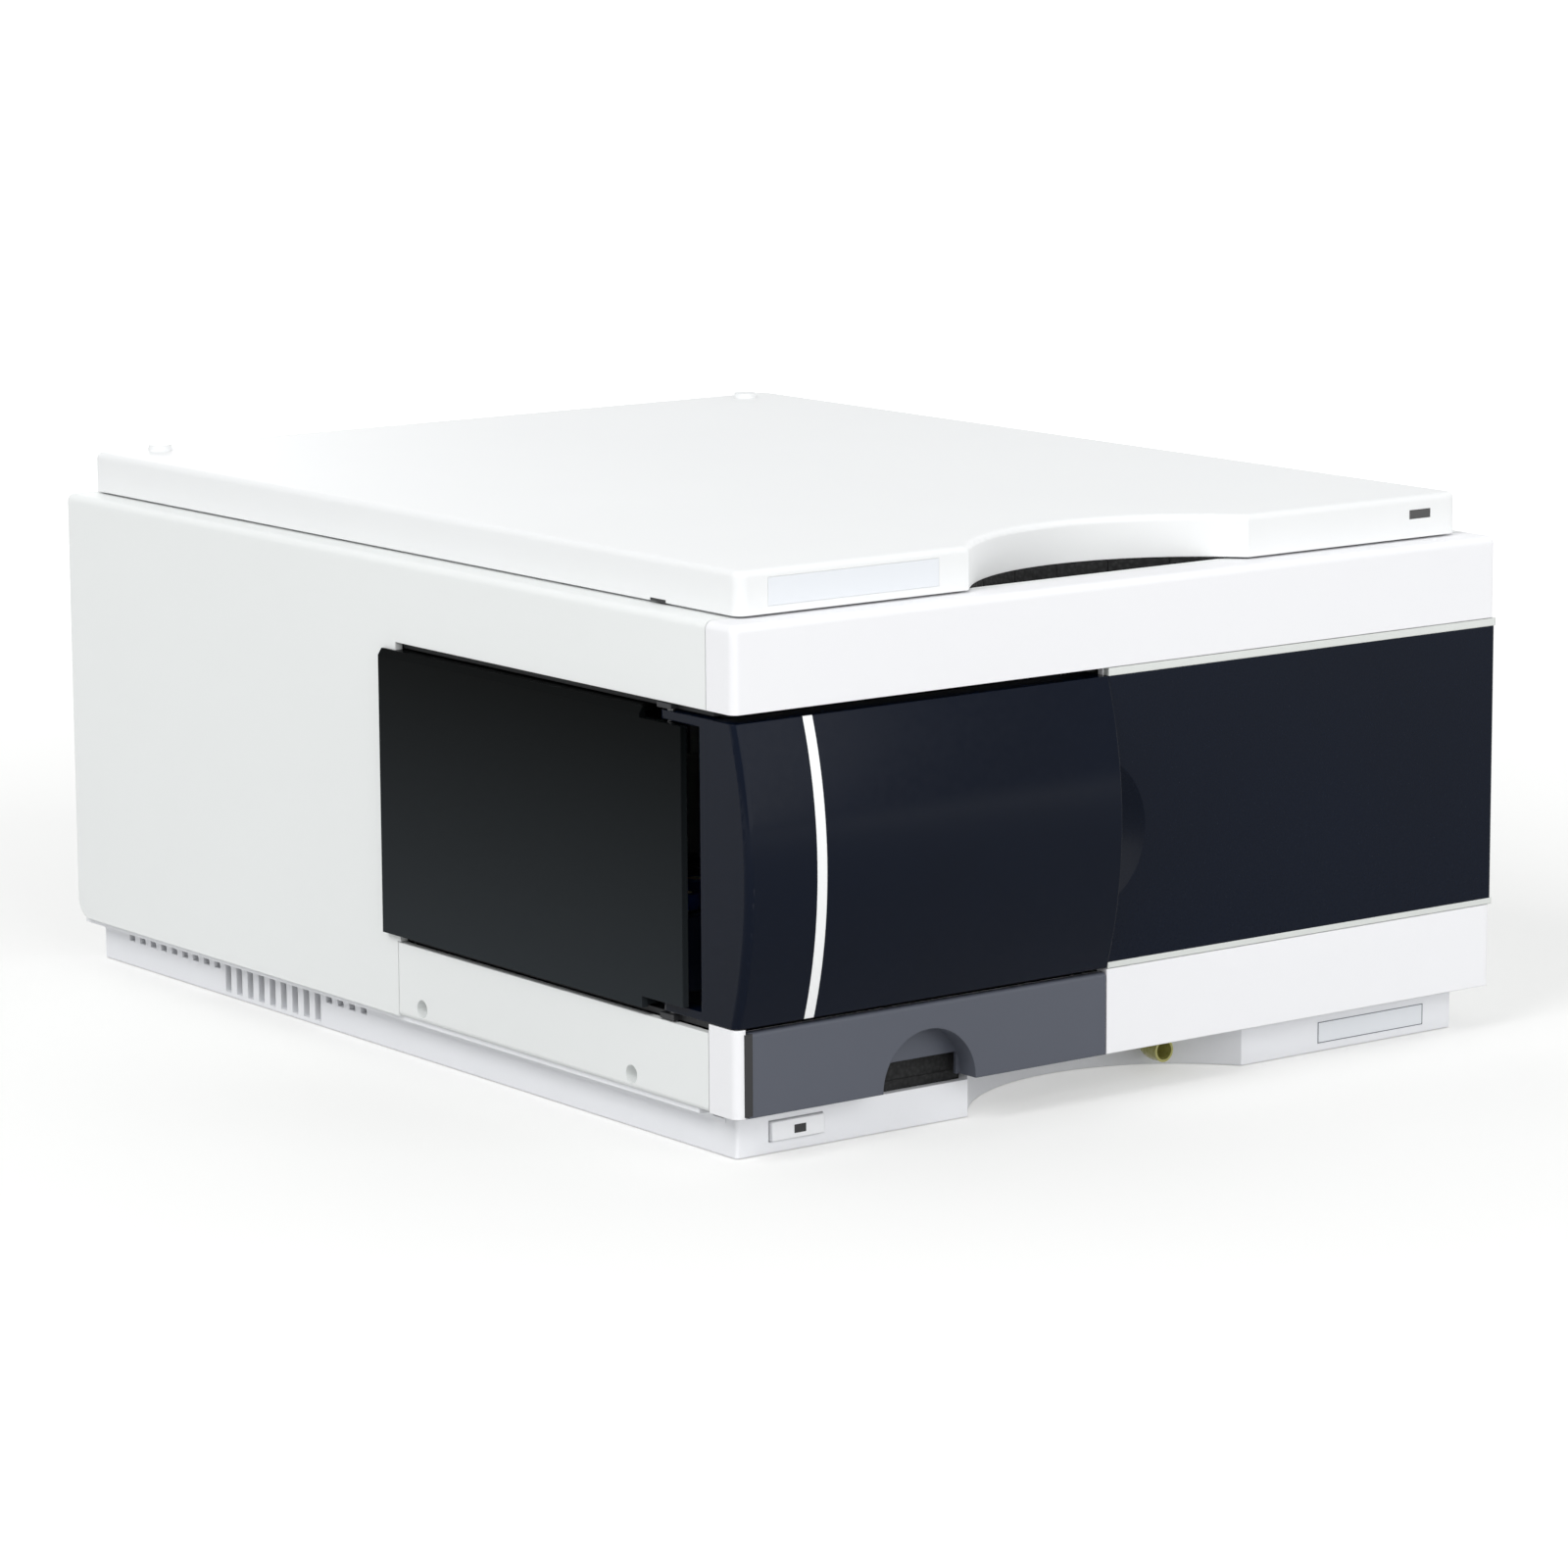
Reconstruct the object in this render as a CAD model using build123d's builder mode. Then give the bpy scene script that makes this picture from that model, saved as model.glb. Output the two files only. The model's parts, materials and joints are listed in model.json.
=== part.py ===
from build123d import *
import os

# Autosampler module of a liquid chromatograph, in millimetres.
# +X is to the right, the front faces -Y and +Z is up.
# The origin is on the table, under the middle of the housing.

# Overall size of the housing
body_width = 345.0
body_depth = 435.0
body_height = 200.0

# Clearances that several pieces share
seam_gap = 0.3
slide_gap = 0.3
running_gap = 0.05
fit_gap = 0.02
overrun = 1.0

# Sides, front and rear of the housing
half_width = body_width / 2
front_y = -body_depth / 2
rear_y = body_depth / 2

# Levels above the table
foot_height = 0.4
cover_foot_z = 17.0
door_bottom_z = 48.0
lid_height = 15.2
lid_shadow = 0.8
band_height = 30.0
door_shadow = 3.0
lid_bottom_z = body_height - lid_height
cover_top_z = lid_bottom_z - lid_shadow
band_bottom_z = cover_top_z - band_height
door_top_z = band_bottom_z - door_shadow
door_middle_z = (door_bottom_z + door_top_z) / 2

# Covers
cover_wall = 3.0
cover_edge_round = 2.8
cover_heel_round = 8.0
front_cover_depth = 15.0
backing_wall = 2.5
backing_lap = 3.5
corner_drop = 0.4
corner_width = 4.2
pad_inset = 14.5
seam_y = front_y + front_cover_depth
inner_front_y = seam_y + seam_gap
inner_half_width = half_width - cover_wall
backing_y = front_y + cover_wall
corner_top_z = door_bottom_z - corner_drop

# Sheets inside: compartment floor, ceiling plate and partition
sheet = 1.5
floor_plate = 2.0
floor_plate_drop = 3.1
ceiling_plate_thickness = 1.8
ceiling_rise = 0.6
cabin_depth = 203.2
partition_side_inset = 6.5
door_right_x = -11.5
floor_right_gap = 2.5
partition_front_y = front_y + cabin_depth
partition_rear_y = partition_front_y + sheet
partition_half_width = half_width - partition_side_inset
floor_plate_z = door_bottom_z - floor_plate_drop
floor_right_x = door_right_x - floor_right_gap
ceiling_z = door_top_z + ceiling_rise

# Cut-out for the side door and the panel below it
side_panel_rear_lap = 1.8
side_panel_drop = 3.6
panel_hole_radius = 3.25
panel_hole_depth = 5.0
panel_boss_radius = 5.0
panel_boss_depth = 3.0
panel_hole_rise = 5.1
panel_hole_rear_inset = 15.2
panel_hole_front_inset = 44.8
panel_corner_round = 2.0
window_rear_y = partition_front_y + seam_gap
side_panel_rear_y = window_rear_y + side_panel_rear_lap
side_panel_top_z = door_bottom_z - side_panel_drop
panel_hole_z = cover_foot_z + panel_hole_rise
panel_hole_ys = (side_panel_rear_y - panel_hole_rear_inset, inner_front_y + panel_hole_front_inset)

# Base tray
base_side_inset = 8.6
base_front_inset = 11.5
base_rear_inset = 4.5
base_wall = 3.0
base_floor = 3.0
base_corner_round = 1.2
front_wall_top_z = 13.6
front_wall_zone = 12.0
flange_out = 6.6
flange_rear_out = 2.5
flange_thickness = 2.0
flange_cove = 4.0
flange_front_inset = 6.0
vent_count = 22
vent_pitch = 7.93
vent_rear_inset = 21.4
vent_width = 4.0
vent_slot_low_z = 2.0
vent_top_z = 13.0
vent_square_height = 3.0
vent_first_slot = 9
vent_last_slot = 17
vent_wall_reach = 4.0
base_half_width = half_width - base_side_inset
base_front_y = front_y + base_front_inset
base_rear_y = rear_y - base_rear_inset
flange_front_y = base_front_y + flange_front_inset
vent_rear_y = base_rear_y - vent_rear_inset
floor_top_z = foot_height + base_floor

# Round recess at the front of the base and of the lid
recess_x = -1.6
base_recess_half = 62.9
base_recess_depth = 33.0
lid_recess_half = 63.3
lid_recess_depth = 30.0

# Stacking pegs on the lid and their sockets under the base
peg_side_inset = 31.5
peg_rear_inset = 17.5
peg_radius = 4.5
peg_height = 2.3
socket_clearance = 0.5
socket_pad_radius = 8.0
socket_pad_height = 2.0
peg_x = half_width - peg_side_inset
peg_y = rear_y - peg_rear_inset

# Rubber feet
foot_radius = 9.0
foot_pocket_depth = 1.6
foot_side_inset = 32.5
foot_front_inset = 27.5
foot_rear_inset = 39.5
foot_x = half_width - foot_side_inset
foot_front_y = front_y + foot_front_inset
foot_rear_y = rear_y - foot_rear_inset

# Power button in the left front block
button_left_inset = 22.1
button_window_width = 23.0
button_window_low_z = 4.2
button_window_height = 7.4
button_gap = 0.4
button_proud = 1.4
button_flange_depth = 1.8
button_flange_lip = 1.2
button_stem_half = 2.0
button_stem_length = 36.0
button_travel = 2.5
button_window_left_x = -half_width + button_left_inset
button_window_x = (button_window_left_x, button_window_left_x + button_window_width)
button_window_z = (button_window_low_z, button_window_low_z + button_window_height)

# Leak drain elbow
drain_radius = 4.2
drain_bore = 3.3
drain_from_recess = 34.2
drain_z = 8.3
drain_end_inset = 9.0
drain_rise_inset = 18.4
drain_bend = 4.8
drain_x = recess_x + drain_from_recess
drain_end_y = base_front_y + drain_end_inset
drain_rise_y = base_front_y + drain_rise_inset

# Lid, with its name plate, status lens and side notches
lid_side_inset = 10.0
lid_front_inset = 10.3
lid_rear_inset = 3.0
lid_wall = 3.0
lid_edge_round = 2.4
lid_corner_round = 4.0
lid_post_radius = 6.0
lid_post_front_inset = 57.2
plate_left_inset = 12.4
plate_recess_gap = 12.9
plate_foot = 2.6
plate_head = 3.0
plate_thickness = 0.5
lens_side_inset = 13.5
lens_width = 10.2
lens_head = 5.0
lens_height = 3.3
lens_depth = 4.2
notch_front_inset = 41.1
notch_length = 9.1
notch_height = 1.0
lid_half_width = half_width - lid_side_inset
lid_front_y = front_y + lid_front_inset
lid_rear_y = rear_y - lid_rear_inset
lid_post_front_y = lid_front_y + lid_post_front_inset
plate_x = (-lid_half_width + plate_left_inset, recess_x - lid_recess_half - plate_recess_gap)
plate_z = (lid_bottom_z + plate_foot, body_height - plate_head)
lens_right_x = lid_half_width - lens_side_inset
lens_x = (lens_right_x - lens_width, lens_right_x)
lens_z = (body_height - lens_head - lens_height, body_height - lens_head)
notch_y = (lid_front_y + notch_front_inset, lid_front_y + notch_front_inset + notch_length)

# Opening in the cover's top, under the lid's recess
well_front_inset = 8.2
well_floor_drop = 19.0
well_front_y = lid_front_y + well_front_inset
well_floor_z = cover_top_z - well_floor_drop

# Panels and strips on the front
panel_gap = 0.4
lower_panel_left_inset = 5.6
lower_panel_right_gap = 0.5
lower_panel_drop = 1.8
panel_edge_round = 1.4
arch_from_left = 82.35
arch_radius = 20.1
arch_rim = 2.0
arch_depth = 9.0
arch_back = 1.5
arch_lintel_height = 8.0
arch_gap = 0.4
strip_height = 3.0
lower_strip_height = 2.4
finger_from_door = 10.6
finger_drop = 3.0
finger_radius = 27.8
finger_wall = 2.0
finger_depth = 8.0
lower_panel_left_x = -half_width + lower_panel_left_inset
lower_panel_right_x = door_right_x - lower_panel_right_gap
lower_panel_top_z = door_bottom_z - lower_panel_drop
arch_x = -half_width + arch_from_left
arch_lintel_z = cover_foot_z + arch_lintel_height
finger_x = door_right_x - finger_from_door
finger_z = door_middle_z - finger_drop

# Front door
door_bulge = 8.0
door_thickness = 3.0
door_wall_depth = 19.0
door_corner_round = 2.6
door_rim_depth = 12.0
stripe_from_left = 28.6
stripe_width = 4.1
stripe_thickness = 0.6
door_wall_rear_y = front_y + door_wall_depth
stripe_left_x = -half_width + stripe_from_left

# Hinge of both doors
hinge_side_inset = 3.5
hinge_front_inset = 39.5
pin_radius = 1.5
hub_radius = 3.4
arm_width = 6.0
hub_height = 5.4
tongue_half = 4.0
tongue_gap = 0.3
hinge_x = -half_width + hinge_side_inset
hinge_y = front_y + hinge_front_inset

# Side door
side_glass = 2.5
side_front_reach = 13.7
side_rear_lap = 7.3
side_top_rise = 0.2
side_rim = 2.4
side_rim_depth = 5.6
side_bevel_height = 2.4
side_bevel_depth = 1.5
arm_notch_reach = 10.0
arm_notch_gap = 0.6
rim_front_reach = 13.0
web_half = 3.0
side_front_y = hinge_y - side_front_reach
side_rear_y = window_rear_y + side_rear_lap
side_bottom_z = corner_top_z
side_top_z = door_top_z + side_top_rise
arm_notch_y = hinge_y + arm_notch_reach
rim_front_y = hinge_y + rim_front_reach

# Foam blocks
foam_rear_inset = 29.5
foam_rear_y = rear_y - foam_rear_inset
foam_joint_setback = 6.0
foam_columns = 6
foam_column = 2 * lid_recess_half / foam_columns
foam_end_joints_x = (recess_x - lid_recess_half, recess_x + lid_recess_half)
foam_joints_x = [foam_end_joints_x[0] + foam_column * step for step in range(1, foam_columns)]

# Leak tray and leak funnel
leak_tray_left_gap = 3.0
leak_tray_rear_gap = 2.7
leak_tray_wall = 2.0
leak_tray_height = 12.0
funnel_from_door = 16.5
funnel_front_gap = 1.1
funnel_rear_gap = 1.7
funnel_cup_height = 11.0
funnel_cup_wall = 1.5
funnel_tube_radius = 3.0
funnel_tube_bore = 2.0
funnel_end_gap = 4.0
leak_tray_x = (floor_right_x + leak_tray_left_gap, partition_half_width)
leak_tray_rear_y = partition_front_y - leak_tray_rear_gap
leak_floor_z = cover_foot_z + leak_tray_wall
well_depth = lid_recess_depth - well_front_inset
funnel_cup_radius = (well_depth - funnel_front_gap - funnel_rear_gap) / 2
funnel_x = door_right_x + funnel_from_door
funnel_y = well_front_y + funnel_front_gap + funnel_cup_radius

# Vial rack, vials and caps
rack_count = 5
vial_spacing = 18.0
rack_margin = 2.0
rack_from_left = 68.5
rack_from_front = 109.5
rack_height = 26.0
rack_floor = 2.0
rack_pocket = 12.6
rack_edge_round = 2.0
vial_radius = 5.8
vial_body_height = 25.0
vial_neck_radius = 4.0
vial_height = 29.0
cap_radius = 5.4
cap_height = 6.0
cap_top = 1.4
vial_columns = 2
vial_rows = 5
rack_x = -half_width + rack_from_left
rack_y = front_y + rack_from_front

# Sampling unit: its place, floor plate, upright wall and top plate
unit_left_inset = 110.5
unit_right_inset = 8.8
unit_depth = 130.0
unit_rear_gap = 5.7
unit_plate = 2.0
unit_wall_inset = 42.0
unit_top_drop = 3.6
top_plate_length = 34.0
unit_x = (half_width - unit_left_inset, half_width - unit_right_inset)
unit_rear_y = partition_front_y - unit_rear_gap
unit_front_y = unit_rear_y - unit_depth
unit_wall_y = unit_rear_y - unit_wall_inset
unit_floor_z = leak_floor_z + unit_plate
unit_top_z = ceiling_z - unit_top_drop
rod_top_z = unit_top_z - unit_plate

# Transport: frame, rails and carriage
rail_radius = 4.0
rail_from_partition = 21.7
rail_upper_drop = 9.6
rail_spacing = 28.0
rail_left_inset = 11.5
rail_unit_gap = 1.0
cheek = 3.0
cheek_front_reach = 8.0
cheek_bottom_reach = 10.0
frame_plate = 3.7
carriage_from_left = 126.5
carriage_half = 20.0
carriage_front_reach = 10.0
carriage_rear_reach = 7.4
carriage_bottom_reach = 8.0
carriage_top_reach = 7.4
guide_half = 6.0
guide_depth = 6.0
guide_length = 18.0
rail_y = partition_front_y - rail_from_partition
rail_upper_z = ceiling_z - rail_upper_drop
rail_lower_z = rail_upper_z - rail_spacing
rail_left_x = -half_width + rail_left_inset
rail_right_x = unit_x[0] - rail_unit_gap
cheek_front_y = rail_y - cheek_front_reach
cheek_bottom_z = rail_lower_z - cheek_bottom_reach
carriage_x = -half_width + carriage_from_left
carriage_front_y = rail_y - carriage_front_reach
carriage_rear_y = rail_y + carriage_rear_reach
carriage_bottom_z = rail_lower_z - carriage_bottom_reach
carriage_top_z = rail_upper_z + carriage_top_reach
guide_bottom_z = carriage_bottom_z - guide_length

# Belt drive of the transport
belt_width = 6.0
belt_rear_gap = 2.5
belt_radius = 7.0
belt_thickness = 1.2
pulley_inset = 11.0
pulley_gap = 0.3
pulley_flange_radius = 9.0
pulley_flange = 1.0
shaft_radius = 2.5
idler_pin_radius = 2.0
clamp_half = 6.0
clamp_height = 4.0
motor_half = 18.0
motor_length = 24.8
motor_round = 3.0
shaft_depth = 8.0
belt_z = (rail_lower_z + rail_upper_z) / 2
belt_rear_y = partition_front_y - frame_plate - belt_rear_gap
belt_y = (belt_rear_y - belt_width, belt_rear_y)
drive_pulley_x = rail_right_x - pulley_inset
idler_pulley_x = rail_left_x + pulley_inset

# Arm drive on the carriage
arm_motor_width = 17.0
arm_motor_height = 16.0
arm_motor_rise = 14.0
arm_motor_bottom_z = carriage_bottom_z + arm_motor_rise

# Arm and gripper
arm_slide_half = 16.0
arm_slide_depth = 14.0
arm_slide_height = 28.0
arm_top_reach = 4.0
beam_half = 8.0
beam_height = 12.0
spindle_radius = 3.0
spindle_height = 9.0
hub_disc_radius = 9.5
hub_disc_height = 9.7
swing_half = 5.0
swing_height = 6.0
swing_rise = 2.0
reach = 50.0
head_radius = 11.0
jaw_drop = 8.0
jaw_height = 14.0
jaw_outer = 9.5
jaw_inner = 6.2
jaw_split = 2.0
jaw_plate = 4.0
stem_x = (3.4, 6.0)
stem_half = 2.0
stem_height = 4.0
jaw_travel = 1.6
gripper_y = rack_y
arm_slide_front_y = carriage_front_y - arm_slide_depth
arm_top_z = rail_upper_z + arm_top_reach
arm_slide_z = (arm_top_z - arm_slide_height, arm_top_z)
beam_z = (arm_top_z - beam_height, arm_top_z)
hub_disc_top_z = beam_z[0] - slide_gap
hub_disc_z = (hub_disc_top_z - hub_disc_height, hub_disc_top_z)
swing_low_z = hub_disc_z[0] + swing_rise
swing_z = (swing_low_z, swing_low_z + swing_height)
jaw_top_z = swing_z[0] - jaw_drop
jaw_z = (jaw_top_z - jaw_height, jaw_top_z)
head_z = (jaw_z[1] + slide_gap, swing_z[1])

# Sampling unit: needle, its seat and its lift
needle_from_left = 12.0
needle_from_wall = 50.0
needle_radius = 0.6
needle_tip_depth = 11.0
needle_hub_radius = 4.6
needle_hub_height = 8.0
needle_shank_radius = 2.4
needle_shank_length = 8.0
needle_arm_half = 6.0
needle_arm_height = 10.0
needle_arm_share = 0.44
needle_block_left = 2.0
needle_block_width = 28.0
needle_block_depth = 18.0
needle_block_gap = 4.0
needle_block_low_lip = 2.0
needle_block_high_lip = 4.0
rod_radius = 3.0
rod_spread = 8.0
seat_half = 8.0
seat_block_height = 35.0
seat_nose_height = 8.0
seat_nose_radius = 5.0
seat_tip_radius = 3.0
seat_bore_gap = 0.1
seat_bore_depth = 13.0
drive_box_width = 36.0
drive_box_depth = 30.0
drive_box_height = 39.0
needle_x = unit_x[0] + needle_from_left
needle_y = unit_wall_y - needle_from_wall
seat_block_top_z = unit_floor_z + seat_block_height
seat_top_z = seat_block_top_z + seat_nose_height
needle_tip_z = seat_top_z - needle_tip_depth
needle_arm_low_z = seat_top_z + needle_arm_share * (rod_top_z - seat_top_z)
needle_arm_z = (needle_arm_low_z, needle_arm_low_z + needle_arm_height)
needle_block_left_x = unit_x[0] + needle_block_left
needle_block_rear_y = unit_wall_y - needle_block_gap
needle_block_x = (needle_block_left_x, needle_block_left_x + needle_block_width)
needle_block_y = (needle_block_rear_y - needle_block_depth, needle_block_rear_y)
needle_block_z = (needle_arm_z[0] - needle_block_low_lip, needle_arm_z[1] + needle_block_high_lip)
needle_block_x_middle = needle_block_left_x + needle_block_width / 2
rod_xs = (needle_block_x_middle - rod_spread, needle_block_x_middle + rod_spread)
rod_y = needle_block_rear_y - needle_block_depth / 2
top_plate_x = (unit_x[0], unit_x[0] + top_plate_length)
drive_box_x = (unit_x[0], unit_x[0] + drive_box_width)
drive_box_y = (unit_wall_y + unit_plate, unit_wall_y + unit_plate + drive_box_depth)
drive_box_top_z = unit_floor_z + drive_box_height

# Sampling unit: metering device
meter_from_right = 48.7
meter_rise = 29.0
meter_half = 15.0
meter_half_height = 20.0
meter_depth = 38.0
meter_bar = 3.0
meter_bar_length = 24.0
meter_plate = 2.0
meter_plate_half = 14.0
meter_head_radius = 13.0
meter_head_length = 22.0
plunger_radius = 1.6
plunger_reach = 4.0
plunger_bore_wall = 2.0
pusher_radius = 6.0
pusher_gap = 3.0
pusher_thickness = 3.0
screw_radius = 3.0
screw_length = 15.0
screw_end_gap = 1.0
meter_x = unit_x[1] - meter_from_right
meter_z = unit_floor_z + meter_rise
meter_bottom_z = meter_z - meter_half_height
meter_top_z = meter_z + meter_half_height
meter_front_y = unit_wall_y - meter_depth
meter_plate_rear_y = meter_front_y - meter_bar_length
meter_plate_y = (meter_plate_rear_y - meter_plate, meter_plate_rear_y)
meter_head_front_y = meter_plate_y[0] - meter_head_length
plunger_tip_y = meter_plate_y[0] - plunger_reach
plunger_bore_end_y = meter_head_front_y + plunger_bore_wall
pusher_rear_y = meter_front_y - pusher_gap
pusher_y = (pusher_rear_y - pusher_thickness, pusher_rear_y)
screw_rear_y = meter_front_y + screw_length
screw_bore_end_y = screw_rear_y + screw_end_gap

# Sampling unit: injection valve
valve_from_right = 21.7
valve_drop = 4.0
valve_drive_radius = 17.0
valve_head_radius = 16.0
valve_head_length = 24.0
rotor_radius = 9.0
rotor_length = 6.0
rotor_shaft_radius = 3.0
rotor_shaft_depth = 10.0
port_circle = 9.0
port_radius = 2.6
port_length = 6.0
port_count = 6
valve_x = unit_x[1] - valve_from_right
valve_z = (meter_top_z + unit_top_z) / 2 - valve_drop
valve_rear_y = meter_front_y
valve_front_y = valve_rear_y - valve_head_length
rotor_front_y = valve_rear_y - rotor_length

# Capillaries
capillary_radius = 0.8
capillary_sides = 6
capillary_bend = 6.0
seat_line_drop = 16.0
seat_line_gap = 6.0
seat_line_reach = 15.0
meter_line_reach = 22.0
seat_line_z = seat_block_top_z - seat_line_drop
seat_line_x = meter_x - meter_half - seat_line_gap
seat_line_y = unit_front_y - seat_line_reach
meter_line_y = unit_front_y - meter_line_reach

# Rear panel
rear_sheet_inset = 6.0
rear_sheet_y = rear_y - rear_sheet_inset
rear_face_y = rear_sheet_y + sheet
rear_sheet_top_z = cover_top_z - cover_wall - seam_gap

# Fan
fan_from_left = 67.5
fan_drop = 41.6
fan_half = 40.0
fan_depth = 25.0
fan_bore = 37.0
fan_corner_round = 4.0
fan_hub_radius = 15.0
fan_blade_count = 7
fan_blade_tip = 35.0
fan_blade_thickness = 1.6
fan_blade_chord = 13.0
fan_blade_angle = 35.0
fan_strut = 3.0
fan_pin_radius = 2.0
fan_hub_inset = 4.0
fan_hub_length = 16.0
fan_slot_count = 7
fan_slot_pitch = 9.0
fan_slot_width = 5.0
fan_grille_radius = 34.0
fan_x = -half_width + fan_from_left
fan_z = ceiling_z - fan_drop
fan_y = (rear_sheet_y - fan_depth, rear_sheet_y)

# Main board and power supply
board_side_inset = 22.5
board_thickness = 1.6
board_front_gap = 32.8
board_head_gap = 6.6
chip_columns = 3
chip_rows = 2
chip_height = 6.0
chip_half_length = 14.0
chip_half_height = 10.0
supply_left_inset = 22.5
supply_fan_gap = 1.5
supply_width = 90.0
supply_depth = 85.0
supply_height = 45.0
supply_round = 2.0
supply_slot_count = 6
supply_slot_pitch = 10.0
supply_slot_width = 3.0
supply_slot_half_length = 24.0
supply_slot_depth = 2.0
board_x = half_width - board_side_inset
board_y = (partition_rear_y + board_front_gap, foam_rear_y)
board_z = (cover_foot_z, ceiling_z - board_head_gap)
supply_left_x = -half_width + supply_left_inset
supply_rear_y = fan_y[0] - supply_fan_gap
supply_x = (supply_left_x, supply_left_x + supply_width)
supply_y = (supply_rear_y - supply_depth, supply_rear_y)

# Power inlet and interface card with its sockets
inlet_x = -30.0
inlet_rise = 25.0
inlet_flange_half_x = 25.0
inlet_flange_half_z = 14.0
inlet_flange = 2.0
inlet_body_half_x = 16.0
inlet_body_half_z = 11.0
inlet_body_depth = 22.0
inlet_mouth_half_x = 12.0
inlet_mouth_half_z = 8.0
inlet_mouth_depth = 16.0
inlet_mouth_chamfer = 4.0
inlet_pin_half_x = 1.0
inlet_pin_half_z = 2.0
inlet_pin_pitch = 7.0
inlet_pin_length = 12.0
card_right_inset = 32.5
card_width = 110.0
card_rise = 43.0
card_height = 26.0
card_plate = 1.0
card_board_rise = 6.0
card_board_depth = 83.0
card_margin = 4.0
socket_row_rise = 15.0
socket_depth = 6.0
socket_half_z = 6.0
socket_end_gap = 6.0
socket_gap = 4.5
socket_lengths = (16.0, 16.0, 30.0, 24.0)
socket_hole_inset = 1.5
socket_hole_depth = 3.5
inlet_z = cover_foot_z + inlet_rise
card_right_x = half_width - card_right_inset
card_low_z = cover_foot_z + card_rise
card_x = (card_right_x - card_width, card_right_x)
card_z = (card_low_z, card_low_z + card_height)
card_board_z = card_low_z + card_board_rise
card_board_front_y = rear_face_y - card_board_depth
socket_row_z = card_low_z + socket_row_rise

os.makedirs("parts", exist_ok=True)


def middle(span):
    """Centre of a span."""
    return (span[0] + span[1]) / 2


def slab(x_span, y_span, z_span, mode=Mode.ADD):
    """Box between two places on each axis."""
    with Locations((middle(x_span), middle(y_span), middle(z_span))):
        Box(x_span[1] - x_span[0], y_span[1] - y_span[0], z_span[1] - z_span[0], mode=mode)


def post(x, y, z_span, radius, mode=Mode.ADD):
    """Upright cylinder."""
    with Locations((x, y, middle(z_span))):
        Cylinder(radius, z_span[1] - z_span[0], mode=mode)


def rod_along_y(x, y_span, z, radius, mode=Mode.ADD):
    """Cylinder that lies from front to rear."""
    with Locations((x, middle(y_span), z)):
        Cylinder(radius, y_span[1] - y_span[0], rotation=(90, 0, 0), mode=mode)


def rod_along_x(x_span, y, z, radius, mode=Mode.ADD):
    """Cylinder that lies from left to right."""
    with Locations((middle(x_span), y, z)):
        Cylinder(radius, x_span[1] - x_span[0], rotation=(0, 90, 0), mode=mode)


def recessed_outline(half, y_span, arc_y, radius):
    """Rectangle in plan whose front edge is hollowed by one round arc."""
    with Locations((0, middle(y_span))):
        Rectangle(2 * half, y_span[1] - y_span[0])
    with Locations((recess_x, arc_y)):
        Circle(radius, mode=Mode.SUBTRACT)


def arc_radius(half_chord, depth):
    """Radius of the arc over a chord."""
    return (half_chord**2 + depth**2) / (2 * depth)


base_arc_radius = arc_radius(base_recess_half, base_recess_depth)
base_arc_y = base_front_y + base_recess_depth - base_arc_radius
lid_arc_radius = arc_radius(lid_recess_half, lid_recess_depth)
lid_arc_y = lid_front_y + lid_recess_depth - lid_arc_radius
foam_joint_y = lid_front_y + lid_recess_depth + foam_joint_setback

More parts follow.
